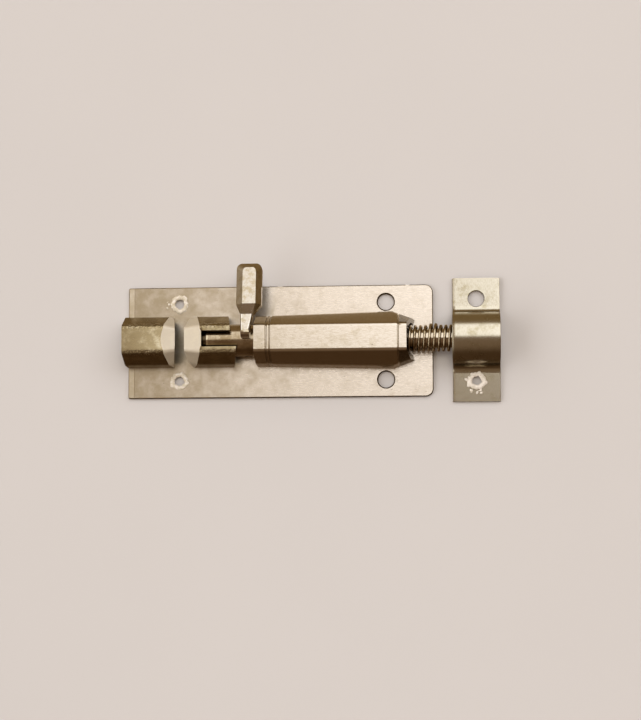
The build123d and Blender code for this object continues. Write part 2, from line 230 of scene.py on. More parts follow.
class RodSizes(bpy.types.PropertyGroup):
    """Two bands painted on the rod near its tail: a painted shadow and a painted highlight."""

    # Painted shadow: a dark band standing in for the shade inside the slot's closed end, not a real
    # groove
    shadow_start: size("Groove start", -20.2, "Where the dark groove starts along the rod")
    shadow_end: size("Groove end", -18.9, "Where the groove ends")
    # Painted highlight: a bright band standing in for light caught by the rod end's edge, not a real
    # ring
    highlight_start: size("Ring start", -18.8, "Where the bright ring starts")
    highlight_end: size("Ring end", -18.45, "Where the ring ends")


class KeeperSizes(bpy.types.PropertyGroup):
    """The strap that the bolt's tip goes into."""

    start: size("Start", 44.4, "Where the strap starts along the bolt")
    width: size("Width", 12.3, "Width of the strap along the bolt")
    length: size("Length", 32.2, "Length of the strap across the bolt")
    thickness: size("Thickness", 1.2, "Thickness of the strap")
    arch_radius: size("Arch radius", 5.4, "Inside radius of the arch")
    flare: size("Flare", 2.2, "Outside radius of the bends at the arch's feet")
    hole_spacing: size("Hole spacing", 21.4, "Distance between the two screw holes")
    hole_diameter: size("Hole diameter", 4.2, "Diameter of the screw holes")
    left_roll: size("Left roll", 0.9, "Width of the rolled band towards the tail")
    right_roll: size("Right roll", 1.6, "Width of the rolled band at the far side")
    roll_drop: size("Roll drop", 0.12, "How far the rolled bands drop at the edge")
    foot_drop: size("Foot drop", 0.38, "How far the lower foot thins towards its end")
    rim: size("Rim", 0.1, "Width and depth of the rim round each hole")
    torn_wander: size("Torn edge", 0.2, "How uneven the torn lower hole's edge is")
    torn_ridge: size("Torn ridge", 1.3, "Width of the ridge of torn metal round that hole")
    torn_sink: size("Torn metal's sink", 0.05, "How deep the torn metal sits in the strap")
    edge: size("Edge radius", 0.16, "Radius of the strap's edges")


class Finishes(bpy.types.PropertyGroup):
    """The plating and its tarnish."""

    plate_bright: colour("Plate, bright", (0.465, 0.385, 0.28), "Clean plating of the plate")
    plate_tarnish: colour("Plate, tarnished", (0.28, 0.215, 0.125), "Tarnished plating of the plate")
    barrel_bright: colour("Barrel, bright", (0.365, 0.30, 0.212), "Clean plating of the barrel")
    barrel_tarnish: colour("Barrel, tarnished", (0.30, 0.235, 0.14), "Its tarnished plating")
    guide_bright: colour("Guides, bright", (0.30, 0.24, 0.14), "Clean plating of the two guides")
    guide_tarnish: colour("Guides, tarnished", (0.21, 0.155, 0.075), "Their tarnished plating")
    # Very dark: the cut edges' dull metal, darkened further as painted shade so that the rims show as
    # dark outlines
    edge: colour("Cut edges", (0.10, 0.075, 0.04), "Dull metal of the sheet's cut edges")
    ground: colour("Ground metal", (0.44, 0.36, 0.235), "Bare metal of the ground bevels")
    torn: colour("Torn metal", (0.60, 0.515, 0.395), "Bare metal of the burrs round the holes")
    rod_bright: colour("Rod, bright", (0.34, 0.27, 0.175), "Rubbed surface of the rod")
    rod_tarnish: colour("Rod, tarnished", (0.20, 0.14, 0.07), "Dull surface of the rod")
    wire_bright: colour("Wire, bright", (0.33, 0.25, 0.145), "Rubbed surface of the wire")
    wire_tarnish: colour("Wire, tarnished", (0.10, 0.065, 0.025), "Dull surface of the wire")
    lever_bright: colour("Lever, bright", (0.39, 0.335, 0.25), "Clean plating of the lever")
    lever_tarnish: colour("Lever, tarnished", (0.30, 0.235, 0.135), "Tarnished plating of the lever")
    keeper_bright: colour("Keeper, bright", (0.33, 0.28, 0.19), "Clean plating of the keeper")
    keeper_tarnish: colour("Keeper, tarnished", (0.25, 0.20, 0.11), "Tarnished plating of the keeper")
    brass: colour("Brass", (0.36, 0.26, 0.12), "Turned brass of the spring's seat")
    brass_dull: colour("Brass, dull", (0.24, 0.16, 0.07), "Dull brass of the spring's seat")


class StageSettings(bpy.types.PropertyGroup):
    """The floor, the lights and the camera."""

    floor: colour("Floor", (0.40, 0.355, 0.30), "Colour of the pale floor")
    light: colour("Light", (0.705, 0.755, 0.90), "Colour of the broad light overhead")
    half_light: colour("Half light", (0.325, 0.305, 0.285), "Colour at the broad light's edge")
    near_wall: colour("Near wall", (0.030, 0.017, 0.0085), "Colour of the dim room on this side")
    far_wall: colour("Far wall", (0.092, 0.065, 0.034), "Colour of the room on the other side")
    ceiling: colour("Ceiling", (0.084, 0.060, 0.043), "Colour of the ceiling beside the light")
    backdrop: colour("Backdrop", (0.70, 0.63, 0.59), "Colour past the floor's edge")
    light_strength: share("Light strength", 4.4, "Brightness of the broad light", high=100)
    key_power: share("Key light", 3.1, "Power of the lamp over the floor, in watts", high=100)
    key_tint: colour("Key tint", (1, 0.96, 0.9), "Colour of that lamp")
    key_x: size("Key light along", 100.0, "Where the lamp stands along the bolt")
    key_y: size("Key light across", 120.0, "Where the lamp stands across the bolt")
    key_z: size("Key light height", 900.0, "How high the lamp stands over the door")
    key_width: size("Key light width", 300.0, "Width of the lamp")
    camera_x: size("Camera along", 50.0, "Where the camera stands along the bolt")
    camera_y: size("Camera across", -49.6, "Where the camera stands across the bolt")
    camera_z: size("Camera height", 471.0, "How high the camera stands over the door")
    target_x: size("Target along", 10.0, "Where the camera looks, along the bolt")
    target_y: size("Target across", -4.9, "Where the camera looks, across the bolt")
    target_z: size("Target height", 1.0, "Where the camera looks, above the door")
    lens: share("Lens", 90.9, "Focal length for a 36 mm picture, in millimetres", high=500)
    roll: turn("Roll", 0.6, "Turn of the picture")


class DoorBoltSettings(bpy.types.PropertyGroup):
    """All the settings of the door bolt."""

    plate: PointerProperty(type=PlateSizes)
    hood: PointerProperty(type=HoodSizes)
    places: PointerProperty(type=HoodPlaces)
    spring: PointerProperty(type=SpringSizes)
    rod: PointerProperty(type=RodSizes)
    lever: PointerProperty(type=LeverSizes)
    keeper: PointerProperty(type=KeeperSizes)
    finish: PointerProperty(type=Finishes)
    stage: PointerProperty(type=StageSettings)


def settings():
    """The door bolt's settings in the current scene."""
    return bpy.context.scene.door_bolt


# Modelling by hand, in code

def leave_all():
    """Leaves edit mode with nothing selected."""
    if bpy.context.mode != "OBJECT":
        bpy.ops.object.mode_set(mode="OBJECT")
    bpy.ops.object.select_all(action="DESELECT")


def only(obj):
    """Leaves edit mode and makes obj the one selected and active object."""
    leave_all()
    obj.select_set(True)
    bpy.context.view_layer.objects.active = obj


def new_piece(name):
    """Names the primitive that was just added and puts its place into its mesh."""
    obj = bpy.context.object
    obj.name = name
    obj.data.name = name
    settle(obj)
    return obj


def settle(obj):
    """Puts obj's place and turn into its mesh, so that it stands at the origin unturned."""
    only(obj)
    bpy.ops.object.transform_apply(location=True, rotation=True, scale=True)


def add_block(name, low, high):
    """A cube primitive between two corners."""
    leave_all()
    middle = (Vector(low) + Vector(high)) / 2
    bpy.ops.mesh.primitive_cube_add(size=1, location=middle, scale=Vector(high) - Vector(low))
    return new_piece(name)


def add_cylinder(name, place, radius, depth, sides=48, rotation=(0, 0, 0)):
    """A cylinder primitive, standing along Z unless it is turned."""
    leave_all()
    bpy.ops.mesh.primitive_cylinder_add(
        vertices=sides, radius=radius, depth=depth, location=place, rotation=rotation
    )
    return new_piece(name)


def choose(obj, kind, test):
    """In edit mode, selects the parts of one kind that pass a test, and nothing else."""
    only(obj)
    bpy.ops.object.mode_set(mode="EDIT")
    bpy.ops.mesh.select_mode(type=kind)
    bpy.ops.mesh.select_all(action="DESELECT")
    mesh = bmesh.from_edit_mesh(obj.data)
    parts = {"VERT": mesh.verts, "EDGE": mesh.edges, "FACE": mesh.faces}[kind]
    chosen = [part for part in parts if test(part)]
    for part in chosen:
        part.select_set(True)
    mesh.select_flush_mode()
    bmesh.update_edit_mesh(obj.data)
    if not chosen:
        raise RuntimeError(f"{obj.name} has nothing to shape there")


def at(value, place):
    """True where a value is at a place, to within a hundredth of a millimetre."""
    return abs(value - place) < NEAR


def middle_of(edge):
    """The middle of an edge."""
    return (edge.verts[0].co + edge.verts[1].co) / 2


def runs_along(edge, axis):
    """True where an edge runs mainly along one axis, 0 to 2."""
    span = edge.verts[1].co - edge.verts[0].co
    return abs(span[axis]) > 0.9 * span.length


def move(offset):
    """Moves the selection."""
    bpy.ops.transform.translate(value=offset)


def resize(factors, centre):
    """Resizes the selection about a centre."""
    bpy.ops.transform.resize(value=factors, center_override=centre)


def cut(obj, place, normal, clear=False):
    """Cuts obj with a plane, and can clear and close what lies where the normal points."""
    only(obj)
    bpy.ops.object.mode_set(mode="EDIT")
    bpy.ops.mesh.select_all(action="SELECT")
    bpy.ops.mesh.bisect(
        plane_co=place, plane_no=normal, clear_outer=clear, use_fill=clear, threshold=1e-7
    )


def round_edges(radius, segments=3):
    """Rounds the selected edges in edit mode."""
    bpy.ops.mesh.bevel(offset_type="OFFSET", offset=radius, segments=segments, affect="EDGES")


def apply_modifier(obj, kind, **values):
    """Adds a modifier to obj, sets it and applies it."""
    only(obj)
    bpy.ops.object.modifier_add(type=kind)
    modifier = obj.modifiers[-1]
    for name, value in values.items():
        setattr(modifier, name, value)
    bpy.ops.object.modifier_apply(modifier=modifier.name)


def ease_edges(obj, radius, angle=40, segments=2):
    """Rounds every edge of obj that is sharper than an angle."""
    apply_modifier(
        obj,
        "BEVEL",
        width=radius,
        segments=segments,
        limit_method="ANGLE",
        angle_limit=radians(angle),
        offset_type="OFFSET",
        use_clamp_overlap=True,
        miter_outer="MITER_ARC",
    )


def smooth(obj, angle=35):
    """Shades obj smooth across all but its sharp edges, with its wide faces kept flat."""
    only(obj)
    bpy.ops.object.shade_smooth_by_angle(angle=radians(angle))
    apply_modifier(obj, "WEIGHTED_NORMAL", keep_sharp=True)


def carve(obj, tool):
    """Cuts a tool's shape out of obj and removes the tool."""
    apply_modifier(obj, "BOOLEAN", operation="DIFFERENCE", object=tool, solver="EXACT")
    bpy.data.objects.remove(tool)


def fuse(obj, other):
    """Makes another piece one body with obj."""
    apply_modifier(obj, "BOOLEAN", operation="UNION", object=other, solver="EXACT")
    bpy.data.objects.remove(other)


def clean(obj):
    """Merges doubled points and turns all faces outwards."""
    only(obj)
    bpy.ops.object.mode_set(mode="EDIT")
    bpy.ops.mesh.select_mode(type="VERT")
    bpy.ops.mesh.select_all(action="SELECT")
    bpy.ops.mesh.remove_doubles(threshold=1e-7)
    bpy.ops.mesh.normals_make_consistent(inside=False)
    bpy.ops.object.mode_set(mode="OBJECT")


def join(obj, *others):
    """Joins other pieces into obj."""
    leave_all()
    for other in others:
        other.select_set(True)
    obj.select_set(True)
    bpy.context.view_layer.objects.active = obj
    bpy.ops.object.join()
    return obj


def paint(obj, material, test):
    """Gives the faces that pass a test a material of their own."""
    obj.data.materials.append(material)
    choose(obj, "FACE", test)
    obj.active_material_index = len(obj.data.materials) - 1
    bpy.ops.object.material_slot_assign()
    bpy.ops.object.mode_set(mode="OBJECT")


def dress(obj, material, slot, body, *nodes):
    """Gives a finished piece its material, and what it rides and replaces. The slot is not used."""
    obj.data.materials.clear()
    obj.data.materials.append(material)
    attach(obj, body)
    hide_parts(*nodes)
    return obj


# Plate

def screw_hole(x, y, diameter, rim, top, wander, seed):
    """A tool for one screw hole with its countersunk rim, which a torn edge makes uneven."""
    radius = diameter / 2
    hole = add_cylinder("hole", (x, y, 0), radius, THROUGH)
    cut(hole, (0, 0, top - rim), (0, 0, 1))
    cut(hole, (0, 0, top + rim), (0, 0, 1))
    choose(hole, "VERT", lambda v: v.co.z > top)
    spread = (radius + 2 * rim) / radius
    resize((spread, spread, 1), (x, y, top))
    if wander:
        tear(hole, x, y, wander / radius, seed)
    return hole


def tear(obj, x, y, wander, seed):
    """Makes a round edge uneven: its points reach out more or less, by a share of the radius."""
    chance = Random(seed)
    # Each wave has its own number of humps round the hole, and starts at a random angle.
    humps = (2, 3, 5, 8, 13)
    waves = [(n, chance.uniform(0, 2 * pi)) for n in humps]

    def reach(v):
        angle = atan2(v.co.y - y, v.co.x - x)
        return sum(sin(n * angle + start) for n, start in waves) / len(waves)

    steps = 8
    for step in range(-steps, steps):
        low, high = step / steps, (step + 1) / steps
        if any(low <= reach(v) < high for v in obj.data.vertices):
            choose(obj, "VERT", lambda v: low <= reach(v) < high)
            factor = 1 + wander * (low + high)
            resize((factor, factor, 1), (x, y, 0))


def add_torn_ridge(x, y, height, diameter, width, wander, seed):
    """The bright ridge of torn metal round a hole, most of it turned into the hole."""
    radius = (diameter - width / 2) / 2
    leave_all()
    bpy.ops.mesh.primitive_torus_add(
        location=(x, y, height),
        major_radius=radius,
        minor_radius=width / 2,
        major_segments=64,
        minor_segments=10,
    )
    ridge = new_piece("torn_ridge")
    choose(ridge, "VERT", lambda v: True)
    resize((1, 1, FLATNESS), (x, y, height))
    tear(ridge, x, y, wander / radius, seed)
    return ridge


def barrel_foot(x):
    """The barrel's half width at the plate, which grows towards its nose."""
    hood = settings().hood
    places = settings().places
    along = (x - places.barrel_start) / (places.nose - places.barrel_start)
    return hood.barrel_foot + (hood.nose_foot - hood.barrel_foot) * along


def tab_places():
    """The hoods' tabs: the node, the place along X, the side, and the foot's half width."""
    hood = settings().hood
    places = settings().places
    tail_x = (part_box("tail_guide")[0].x + places.tail_end_foot) / 2
    guide_x = (places.guide_foot + places.near_end_foot) / 2
    barrel_x = (places.barrel_start + hood.tab_length, places.nose - hood.tab_length)
    found = []
    for side in (-1, 1):
        found.append(("tail_guide", tail_x, side, hood.guide_foot))
        found.append(("slotted_guide", guide_x, side, hood.guide_foot))
        found += [("barrel", x, side, barrel_foot(x)) for x in barrel_x]
    return found


def tab_box(x, side, foot, clearance=0.0):
    """The corners of one tab below its foot, or of its slot where it gets a clearance."""
    hood = settings().hood
    y = side * (foot - hood.wall / 2)
    half_length = hood.tab_length / 2 + clearance
    half_thickness = hood.tab_thickness / 2 + clearance
    return (x - half_length, y - half_thickness), (x + half_length, y + half_thickness)


def plate_holes():
    """The plate's four holes: the place along and across, and whether the hole is torn."""
    plate = settings().plate
    x, y = plate.hole_spacing_x / 2, plate.hole_spacing_y / 2
    return [(-x, -y, True), (-x, y, True), (x, -y, False), (x, y, False)]


def hole_seed(y):
    """One uneven outline for holes on this side of the bolt, another for those beyond it."""
    return 3 if y < 0 else 6


def in_hole(face, x, y, diameter):
    """True for a face of the wall of one screw hole."""
    away = face.calc_center_median() - Vector((x, y, 0))
    return away.xy.length < 0.7 * diameter and abs(face.normal.z) < 0.3


def on_plate_rim(face):
    """True for a face of the plate that isn't flat on its top, which gets painted shade as a dark
    outline.
    """
    flat = 0.98
    return face.normal.z < flat


def make_plate():
    """The stamped plate: rounded corners, screw holes, clinch slots and a creased tail end."""
    plate = settings().plate
    left = plate.middle_x - plate.length / 2
    right = plate.middle_x + plate.length / 2
    half = plate.width / 2
    sheet = add_block("backplate_sheet", (left, -half, 0), (right, half, plate.thickness))
    choose(sheet, "EDGE", lambda e: runs_along(e, 2) and middle_of(e).x > 0)
    round_edges(plate.keeper_corner, segments=8)
    choose(sheet, "EDGE", lambda e: runs_along(e, 2) and middle_of(e).x < left + NEAR)
    round_edges(plate.tail_corner, segments=4)
    choose(sheet, "EDGE", lambda e: at(middle_of(e).z, plate.thickness))
    round_edges(plate.edge)
    crease = left + plate.end_roll
    cut(sheet, (crease, 0, 0), (1, 0, 0))
    cut(sheet, (crease + plate.end_drop, 0, 0), (1, 0, 0))
    choose(sheet, "VERT", lambda v: at(v.co.x, crease) and v.co.z > NEAR)
    move((0, 0, -plate.end_drop))
    top = plate.thickness
    for x, y, torn in plate_holes():
        rim = plate.torn_rim if torn else plate.countersink
        wander = plate.torn_wander if torn else 0.0
        carve(sheet, screw_hole(x, y, plate.hole_diameter, rim, top, wander, hole_seed(y)))
    for _, x, side, foot in tab_places():
        low, high = tab_box(x, side, foot, plate.slot_clearance)
        carve(sheet, add_block("slot", (*low, -top), (*high, 2 * top)))
    nicks = (
        (plate.middle_nick_x, plate.middle_nick_radius),
        (plate.corner_nick_x, plate.corner_nick_radius),
    )
    for x, radius in nicks:
        outside = half + radius - plate.nick
        carve(sheet, add_cylinder("nick", (x, outside, top), radius, top))
    clean(sheet)
    ease_edges(sheet, plate.edge, angle=50, segments=3)
    smooth(sheet)
    return sheet


def add_crumb(x, y, height, radius, seed):
    """A crumb of torn metal that sticks to the sheet."""
    chance = Random(seed)
    leave_all()
    bpy.ops.mesh.primitive_ico_sphere_add(subdivisions=2, radius=radius, location=(x, y, height))
    crumb = bpy.context.object
    crumb.scale = (1.0, chance.uniform(0.5, 0.9), FLATNESS)
    crumb.rotation_euler = (0, 0, chance.uniform(0, pi))
    return new_piece("crumb")


def crumbs_beside(x, y, height, offsets):
    """The place and radius of each crumb beside a hole, from its offsets in millimetres."""
    return [
        (x + along * MM, y + across * MM, height, radius * MM)
        for along, across, radius in offsets
    ]


def make_burrs(name, ridges, crumbs):
    """Torn metal that lies on a sheet: ridges round holes, and crumbs."""
    pieces = [add_torn_ridge(*ridge) for ridge in ridges]
    pieces += [add_crumb(*crumb, seed=len(pieces) + n) for n, crumb in enumerate(crumbs)]
    burrs = join(*pieces)
    burrs.name = name
    burrs.data.name = name
    smooth(burrs, angle=60)
    return burrs


def make_plate_burrs():
    """Ridges round the plate's torn holes, and crumbs beside one hole at each end."""
    plate = settings().plate
    top = plate.thickness
    ridges = [
        (x, y, top, plate.hole_diameter, plate.torn_ridge, plate.torn_wander, hole_seed(y))
        for x, y, torn in plate_holes()
        if torn
    ]
    x, y = plate.hole_spacing_x / 2, plate.hole_spacing_y / 2
    crumbs = crumbs_beside(-x, y, top, TAIL_HOLE_CRUMBS)
    crumbs += crumbs_beside(x, -y, top, FRONT_HOLE_CRUMBS)
    return make_burrs("plate_burrs", ridges, crumbs)


# Hoods

def press_shell(name, stations):
    """The outer skin of a hood, pressed from a block.

    Each station gives a place along X at the plate, one at the crown, and the half width.
    """
    hood = settings().hood
    foot = settings().plate.thickness
    rise = hood.crown_height - foot
    first, last = stations[0], stations[-1]
    skin = add_block(
        name, (first[0], -first[2], foot), (last[0], first[2], hood.crown_height)
    )
    cut(skin, (0, 0, hood.shoulder_height), (0, 0, 1))
    for low_x, high_x, _ in stations[1:-1]:
        cut(skin, ((low_x + high_x) / 2, 0, 0), (1, 0, 0))
    for low_x, high_x, half in stations:
        middle = (low_x + high_x) / 2
        levels = (
            (foot, half),
            (hood.shoulder_height, half - hood.shoulder_inset),
            (hood.crown_height, hood.crown_half_width),
        )
        for z, wanted in levels:
            choose(skin, "VERT", lambda v: at(v.co.x, middle) and at(v.co.z, z))
            resize((1, wanted / first[2], 1), (middle, 0, z))
            move((low_x + (high_x - low_x) * (z - foot) / rise - middle, 0, 0))
    choose(skin, "FACE", lambda f: f.normal.z < -0.9 or abs(f.normal.x) > 0.9)
    bpy.ops.mesh.delete(type="FACE")
    return skin


def bend_edges(skin):
    """Rounds the bends of a hood's skin."""
    hood = settings().hood
    rise = hood.crown_height - hood.shoulder_height
    run = hood.guide_foot - hood.shoulder_inset - hood.crown_half_width
    slope = atan2(rise, run)
    choose(skin, "EDGE", lambda e: runs_along(e, 0) and at(middle_of(e).z, hood.crown_height))
    round_edges(hood.crown_bend * tan(slope / 2), segments=6)
    choose(
        skin,
        "EDGE",
        lambda e: runs_along(e, 0) and at(middle_of(e).z, hood.shoulder_height),
    )
    round_edges(hood.shoulder_bend * tan((pi / 2 - slope) / 2), segments=5)


def bow_line(skin, x, bow):
    """Bows the line across a hood's crown where its bevel starts."""
    crown = settings().hood.crown_height
    leave_all()
    reach = max(v.co.y for v in skin.data.vertices if at(v.co.x, x) and at(v.co.z, crown))
    steps = 4
    across = [reach * step / steps for step in range(1 - steps, steps)]
    for y in across:
        cut(skin, (0, y, 0), (0, 1, 0))
    for y in across:
        choose(
            skin, "VERT", lambda v: at(v.co.x, x) and at(v.co.y, y) and at(v.co.z, crown)
        )
        move((bow * (1 - (y / reach) ** 2), 0, 0))


def thicken(skin):
    """Gives a skin its wall, inwards."""
    apply_modifier(
        skin, "SOLIDIFY", thickness=settings().hood.wall, offset=-1, use_even_offset=True
    )


def grind_end(shell, x):
    """Grinds a bevel round the outside of one end of a hood, thinner towards the end."""
    hood = settings().hood
    axis = settings().spring.axis_height
    drop = 1 - hood.bevel_drop / (hood.crown_height - axis)

    def outside(v):
        away = Vector((0, v.co.y, v.co.z - axis))
        return at(v.co.x, x) and v.normal.dot(away) > 0

    choose(shell, "VERT", outside)
    resize((1, drop, 1), (x, 0, axis))
    choose(shell, "VERT", lambda v: outside(v) and v.co.z > axis)
    resize((1, 1, drop), (x, 0, axis))


def slant_end(shell, foot_x, crown_x, direction=1):
    """Cuts off a hood's end at a slant, through one place at the plate and one at the crown."""
    hood = settings().hood
    rise = hood.crown_height - settings().plate.thickness
    normal = direction * Vector((rise, 0, foot_x - crown_x)).normalized()
    cut(shell, (crown_x, 0, hood.crown_height), normal, clear=True)


def finish_hood(shell, name):
    """Rounds a hood's edges and gives it its tabs."""
    hood = settings().hood
    clean(shell)
    ease_edges(shell, hood.edge, angle=45, segments=2)
    tabs = []
    for node, x, side, foot in tab_places():
        if node == name:
            low, high = tab_box(x, side, foot)
            tab = add_block("tab", (*low, 0), (*high, settings().plate.thickness))
            ease_edges(tab, hood.tab_edge, angle=50)
            tabs.append(tab)
    join(shell, *tabs)
    smooth(shell)
    return shell


def on_bevel(face, foot_x, crown_x, direction):
    """True for a face outside a hood and past a slanted line, where the bevel was ground."""
    hood = settings().hood
    foot = settings().plate.thickness
    place = face.calc_center_median()
    away = Vector((0, place.y, place.z - settings().spring.axis_height))
    line = foot_x + (crown_x - foot_x) * (place.z - foot) / (hood.crown_height - foot)
    past = (place.x - line) * direction > NEAR
    return past and face.normal.dot(away) > 0 and abs(face.normal.x) < 0.6 and place.z > 2 * foot


def make_tail_guide():
    """The hood at the tail, flush with the plate's end and ground where it faces the next one."""
    half = settings().hood.guide_foot
    places = settings().places
    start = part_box("tail_guide")[0].x
    end = places.tail_end_crown
    shell = press_shell(
        "tail_guide_hood",
        [
            (start, start, half),
            (places.tail_bevel_foot, places.tail_bevel_crown, half),
            (end, end, half),
        ],
    )
    bend_edges(shell)
    bow_line(shell, places.tail_bevel_crown, -settings().hood.bevel_bow)
    thicken(shell)
    grind_end(shell, end)
    slant_end(shell, places.tail_end_foot, end)
    return finish_hood(shell, "tail_guide")


def sink_slot_edges(shell):
    """Presses the slot's two edges down, past its closed end."""
    hood = settings().hood
    sunk_x = hood.slot_start + 2 * hood.slot_sink
    cut(shell, (sunk_x, 0, 0), (1, 0, 0))
    choose(
        shell,
        "VERT",
        lambda v: v.co.x > sunk_x - NEAR
        and at(abs(v.co.y), hood.slot_width / 2)
        and at(v.co.z, hood.crown_height),
    )
    move((0, 0, -hood.slot_sink))


def shorten_rail(shell):
    """Cuts the rail on the lever's side shorter, at a slant."""
    hood = settings().hood
    places = settings().places
    foot = settings().plate.thickness
    low = (places.near_end_foot, 0, foot)
    wedge = add_block("wedge", low, (0, 2 * hood.guide_foot, hood.crown_height))
    choose(wedge, "VERT", lambda v: v.co.x < -NEAR and v.co.z > foot + NEAR)
    move((places.near_end_crown - places.near_end_foot, 0, 0))
    for side in (1, -1):
        choose(wedge, "FACE", lambda f: side * f.normal.z > 0.9)
        move((0, 0, side * MM))
    carve(shell, wedge)


def make_slotted_guide():
    """The hood that the lever slides through, closed by its ground end."""
    hood = settings().hood
    places = settings().places
    half = hood.guide_foot
    start, end = places.guide_crown, places.far_end_crown
    shell = press_shell(
        "slotted_guide_hood",
        [
            (start, start, half),
            (places.guide_bevel_foot, places.guide_bevel_crown, half),
            (end, end, half),
        ],
    )
    bend_edges(shell)
    bow_line(shell, places.guide_bevel_crown, hood.bevel_bow)
    thicken(shell)
    grind_end(shell, start)
    slant_end(shell, places.guide_foot, start, direction=-1)
    slant_end(shell, places.far_end_foot, end)
    slot_half = hood.slot_width / 2
    low = (hood.slot_start, -slot_half, settings().spring.axis_height)
    carve(shell, add_block("slot", low, (0, slot_half, 2 * hood.crown_height)))
    sink_slot_edges(shell)
    shorten_rail(shell)
    return finish_hood(shell, "slotted_guide")


def roll_crimp(skin, x):
    """Rolls one crimp into the barrel's skin."""
    hood = settings().hood
    steps = 3
    for step in range(steps + 1):
        cut(skin, (x + step * hood.crimp_width / steps, 0, 0), (1, 0, 0))
    low, high = x + NEAR, x + hood.crimp_width - NEAR
    floor = 1.5 * hood.wall
    choose(skin, "VERT", lambda v: low < v.co.x < high and v.co.z > floor)
    bpy.ops.transform.shrink_fatten(value=-hood.crimp_depth)


def make_barrel():
    """The long hood over the spring, with rolled crimps and a narrowing nose."""
    hood = settings().hood
    places = settings().places
    start, nose, end = places.barrel_start, places.nose, places.barrel_end_foot
    shell = press_shell(
        "barrel_hood",
        [
            (start, start, hood.barrel_foot),
            (nose, nose, hood.nose_foot),
            (end, end, hood.end_foot),
        ],
    )
    bend_edges(shell)
    for x in (hood.first_crimp, hood.second_crimp, hood.nose_crimp):
        roll_crimp(shell, x)
    thicken(shell)
    slant_end(shell, end, places.barrel_end_crown)
    return finish_hood(shell, "barrel")


def past_nose_crimp(face):
    """True for a face beside the crown, between the nose's crimp and the barrel's end, where painted
    shade goes.
    """
    hood = settings().hood
    crimp_end = hood.nose_crimp + hood.crimp_width
    return face.calc_center_median().x > crimp_end and face.normal.z < 0.8


# Spring

def make_spring():
    """The coil: a ring of wire screwed along the bolt's axis, with one turn standing proud."""
    spring = settings().spring
    low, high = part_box("compression_spring")
    wire = spring.wire / 2
    coil = spring.diameter / 2 - wire
    start, end = low.x + wire, high.x - wire
    leave_all()
    bpy.ops.mesh.primitive_circle_add(
        vertices=10, radius=wire, location=(0, 0, coil), rotation=(pi / 2, 0, 0)
    )
    wire_ring = new_piece("spring_coil")
    apply_modifier(
        wire_ring,
        "SCREW",
        axis="X",
        angle=-2 * pi,
        screw_offset=(end - start) / spring.turns,
        iterations=spring.turns,
        steps=spring.steps,
        render_steps=spring.steps,
        use_merge_vertices=False,
    )
    wire_ring.location = (start, 0, spring.axis_height)
    settle(wire_ring)
    bpy.ops.object.mode_set(mode="EDIT")
    bpy.ops.mesh.select_all(action="SELECT")
    bpy.ops.mesh.fill_holes(sides=0)
    clean(wire_ring)
    pitch = (end - start) / spring.turns
    choose(
        wire_ring,
        "VERT",
        lambda v: abs(v.co.x - spring.proud_x) < pitch / 2 and v.co.y > coil,
    )
    bpy.ops.transform.translate(
        value=(0, spring.proud_rise, 0),
        use_proportional_edit=True,
        proportional_edit_falloff="SMOOTH",
        proportional_size=spring.proud_reach,
        use_proportional_connected=True,
    )
    smooth(wire_ring, angle=60)
    return wire_ring


# Lever

def make_paddle():
    """The thumb piece, lying flat with its inner end at the origin."""
    lever = settings().lever
    half = lever.paddle_width / 2
    wall = lever.paddle_thickness - lever.bevel_depth
    paddle = add_block("paddle", (-half, 0, 0), (half, lever.paddle_length, wall))
    choose(
        paddle, "EDGE", lambda e: runs_along(e, 2) and at(middle_of(e).y, lever.paddle_length)
    )
    round_edges(lever.paddle_corner, segments=8)
    choose(paddle, "FACE", lambda f: f.normal.z > 0.9)
    bpy.ops.mesh.extrude_region_move(TRANSFORM_OT_translate={"value": (0, 0, lever.bevel_depth)})
    across = 1 - (lever.tail_bevel + lever.keeper_bevel) / lever.paddle_width
    centre_x = (lever.tail_bevel - half * (1 - across)) / (1 - across)
    along = 1 - lever.end_bevel / lever.paddle_length
    resize((across, along, 1), (centre_x, 0, 0))
    cut(paddle, (0, lever.slope_length, 0), (0, 1, 0))
    sink = (lever.paddle_thickness - lever.neck_thickness) / 2
    choose(paddle, "VERT", lambda v: v.co.y < NEAR and v.co.z > wall + NEAR)
    resize((1 / across, 1, 1), (centre_x, 0, 0))
    move((0, 0, -sink))
    choose(paddle, "VERT", lambda v: v.co.y < NEAR and v.co.z < NEAR)
    move((0, 0, sink))
    join_share = (lever.neck_length - lever.slope_reach) / (lever.neck_length + lever.neck_overlap)
    width = lever.stem_width + (lever.neck_wide - lever.stem_width) * join_share
    join_x = lever.neck_offset * join_share - lever.paddle_offset
    choose(paddle, "VERT", lambda v: v.co.y < NEAR)
    resize((width / lever.paddle_width, 1, 1), (0, 0, 0))
    move((join_x, -lever.slope_reach, 0))
    return paddle


def make_neck():
    """The neck, lying flat and widening towards the thumb piece, with its inner end rounded."""
    lever = settings().lever
    half = lever.stem_width / 2
    length = lever.neck_length + lever.neck_overlap
    inner = -lever.stem_thickness / cos(lever.droop)
    neck = add_block("neck", (-half, 0, 0), (half, length, lever.neck_thickness))
    choose(neck, "VERT", lambda v: at(v.co.y, length))
    resize((lever.neck_wide / lever.stem_width, 1, 1), (0, length, 0))
    move((lever.neck_offset, 0, 0))
    choose(neck, "FACE", lambda f: f.normal.y < -0.9)
    bpy.ops.mesh.extrude_region_move(TRANSFORM_OT_translate={"value": (0, inner, 0)})
    choose(
        neck,
        "EDGE",
        lambda e: runs_along(e, 0) and at(middle_of(e).y, inner) and middle_of(e).z > NEAR,
    )
    round_edges(lever.stem_thickness, segments=5)
    choose(
        neck,
        "EDGE",
        lambda e: middle_of(e).z > lever.neck_thickness - NEAR
        and abs(middle_of(e).x) > half / 2
        and not runs_along(e, 0),
    )
    round_edges(lever.neck_edge)
    return neck


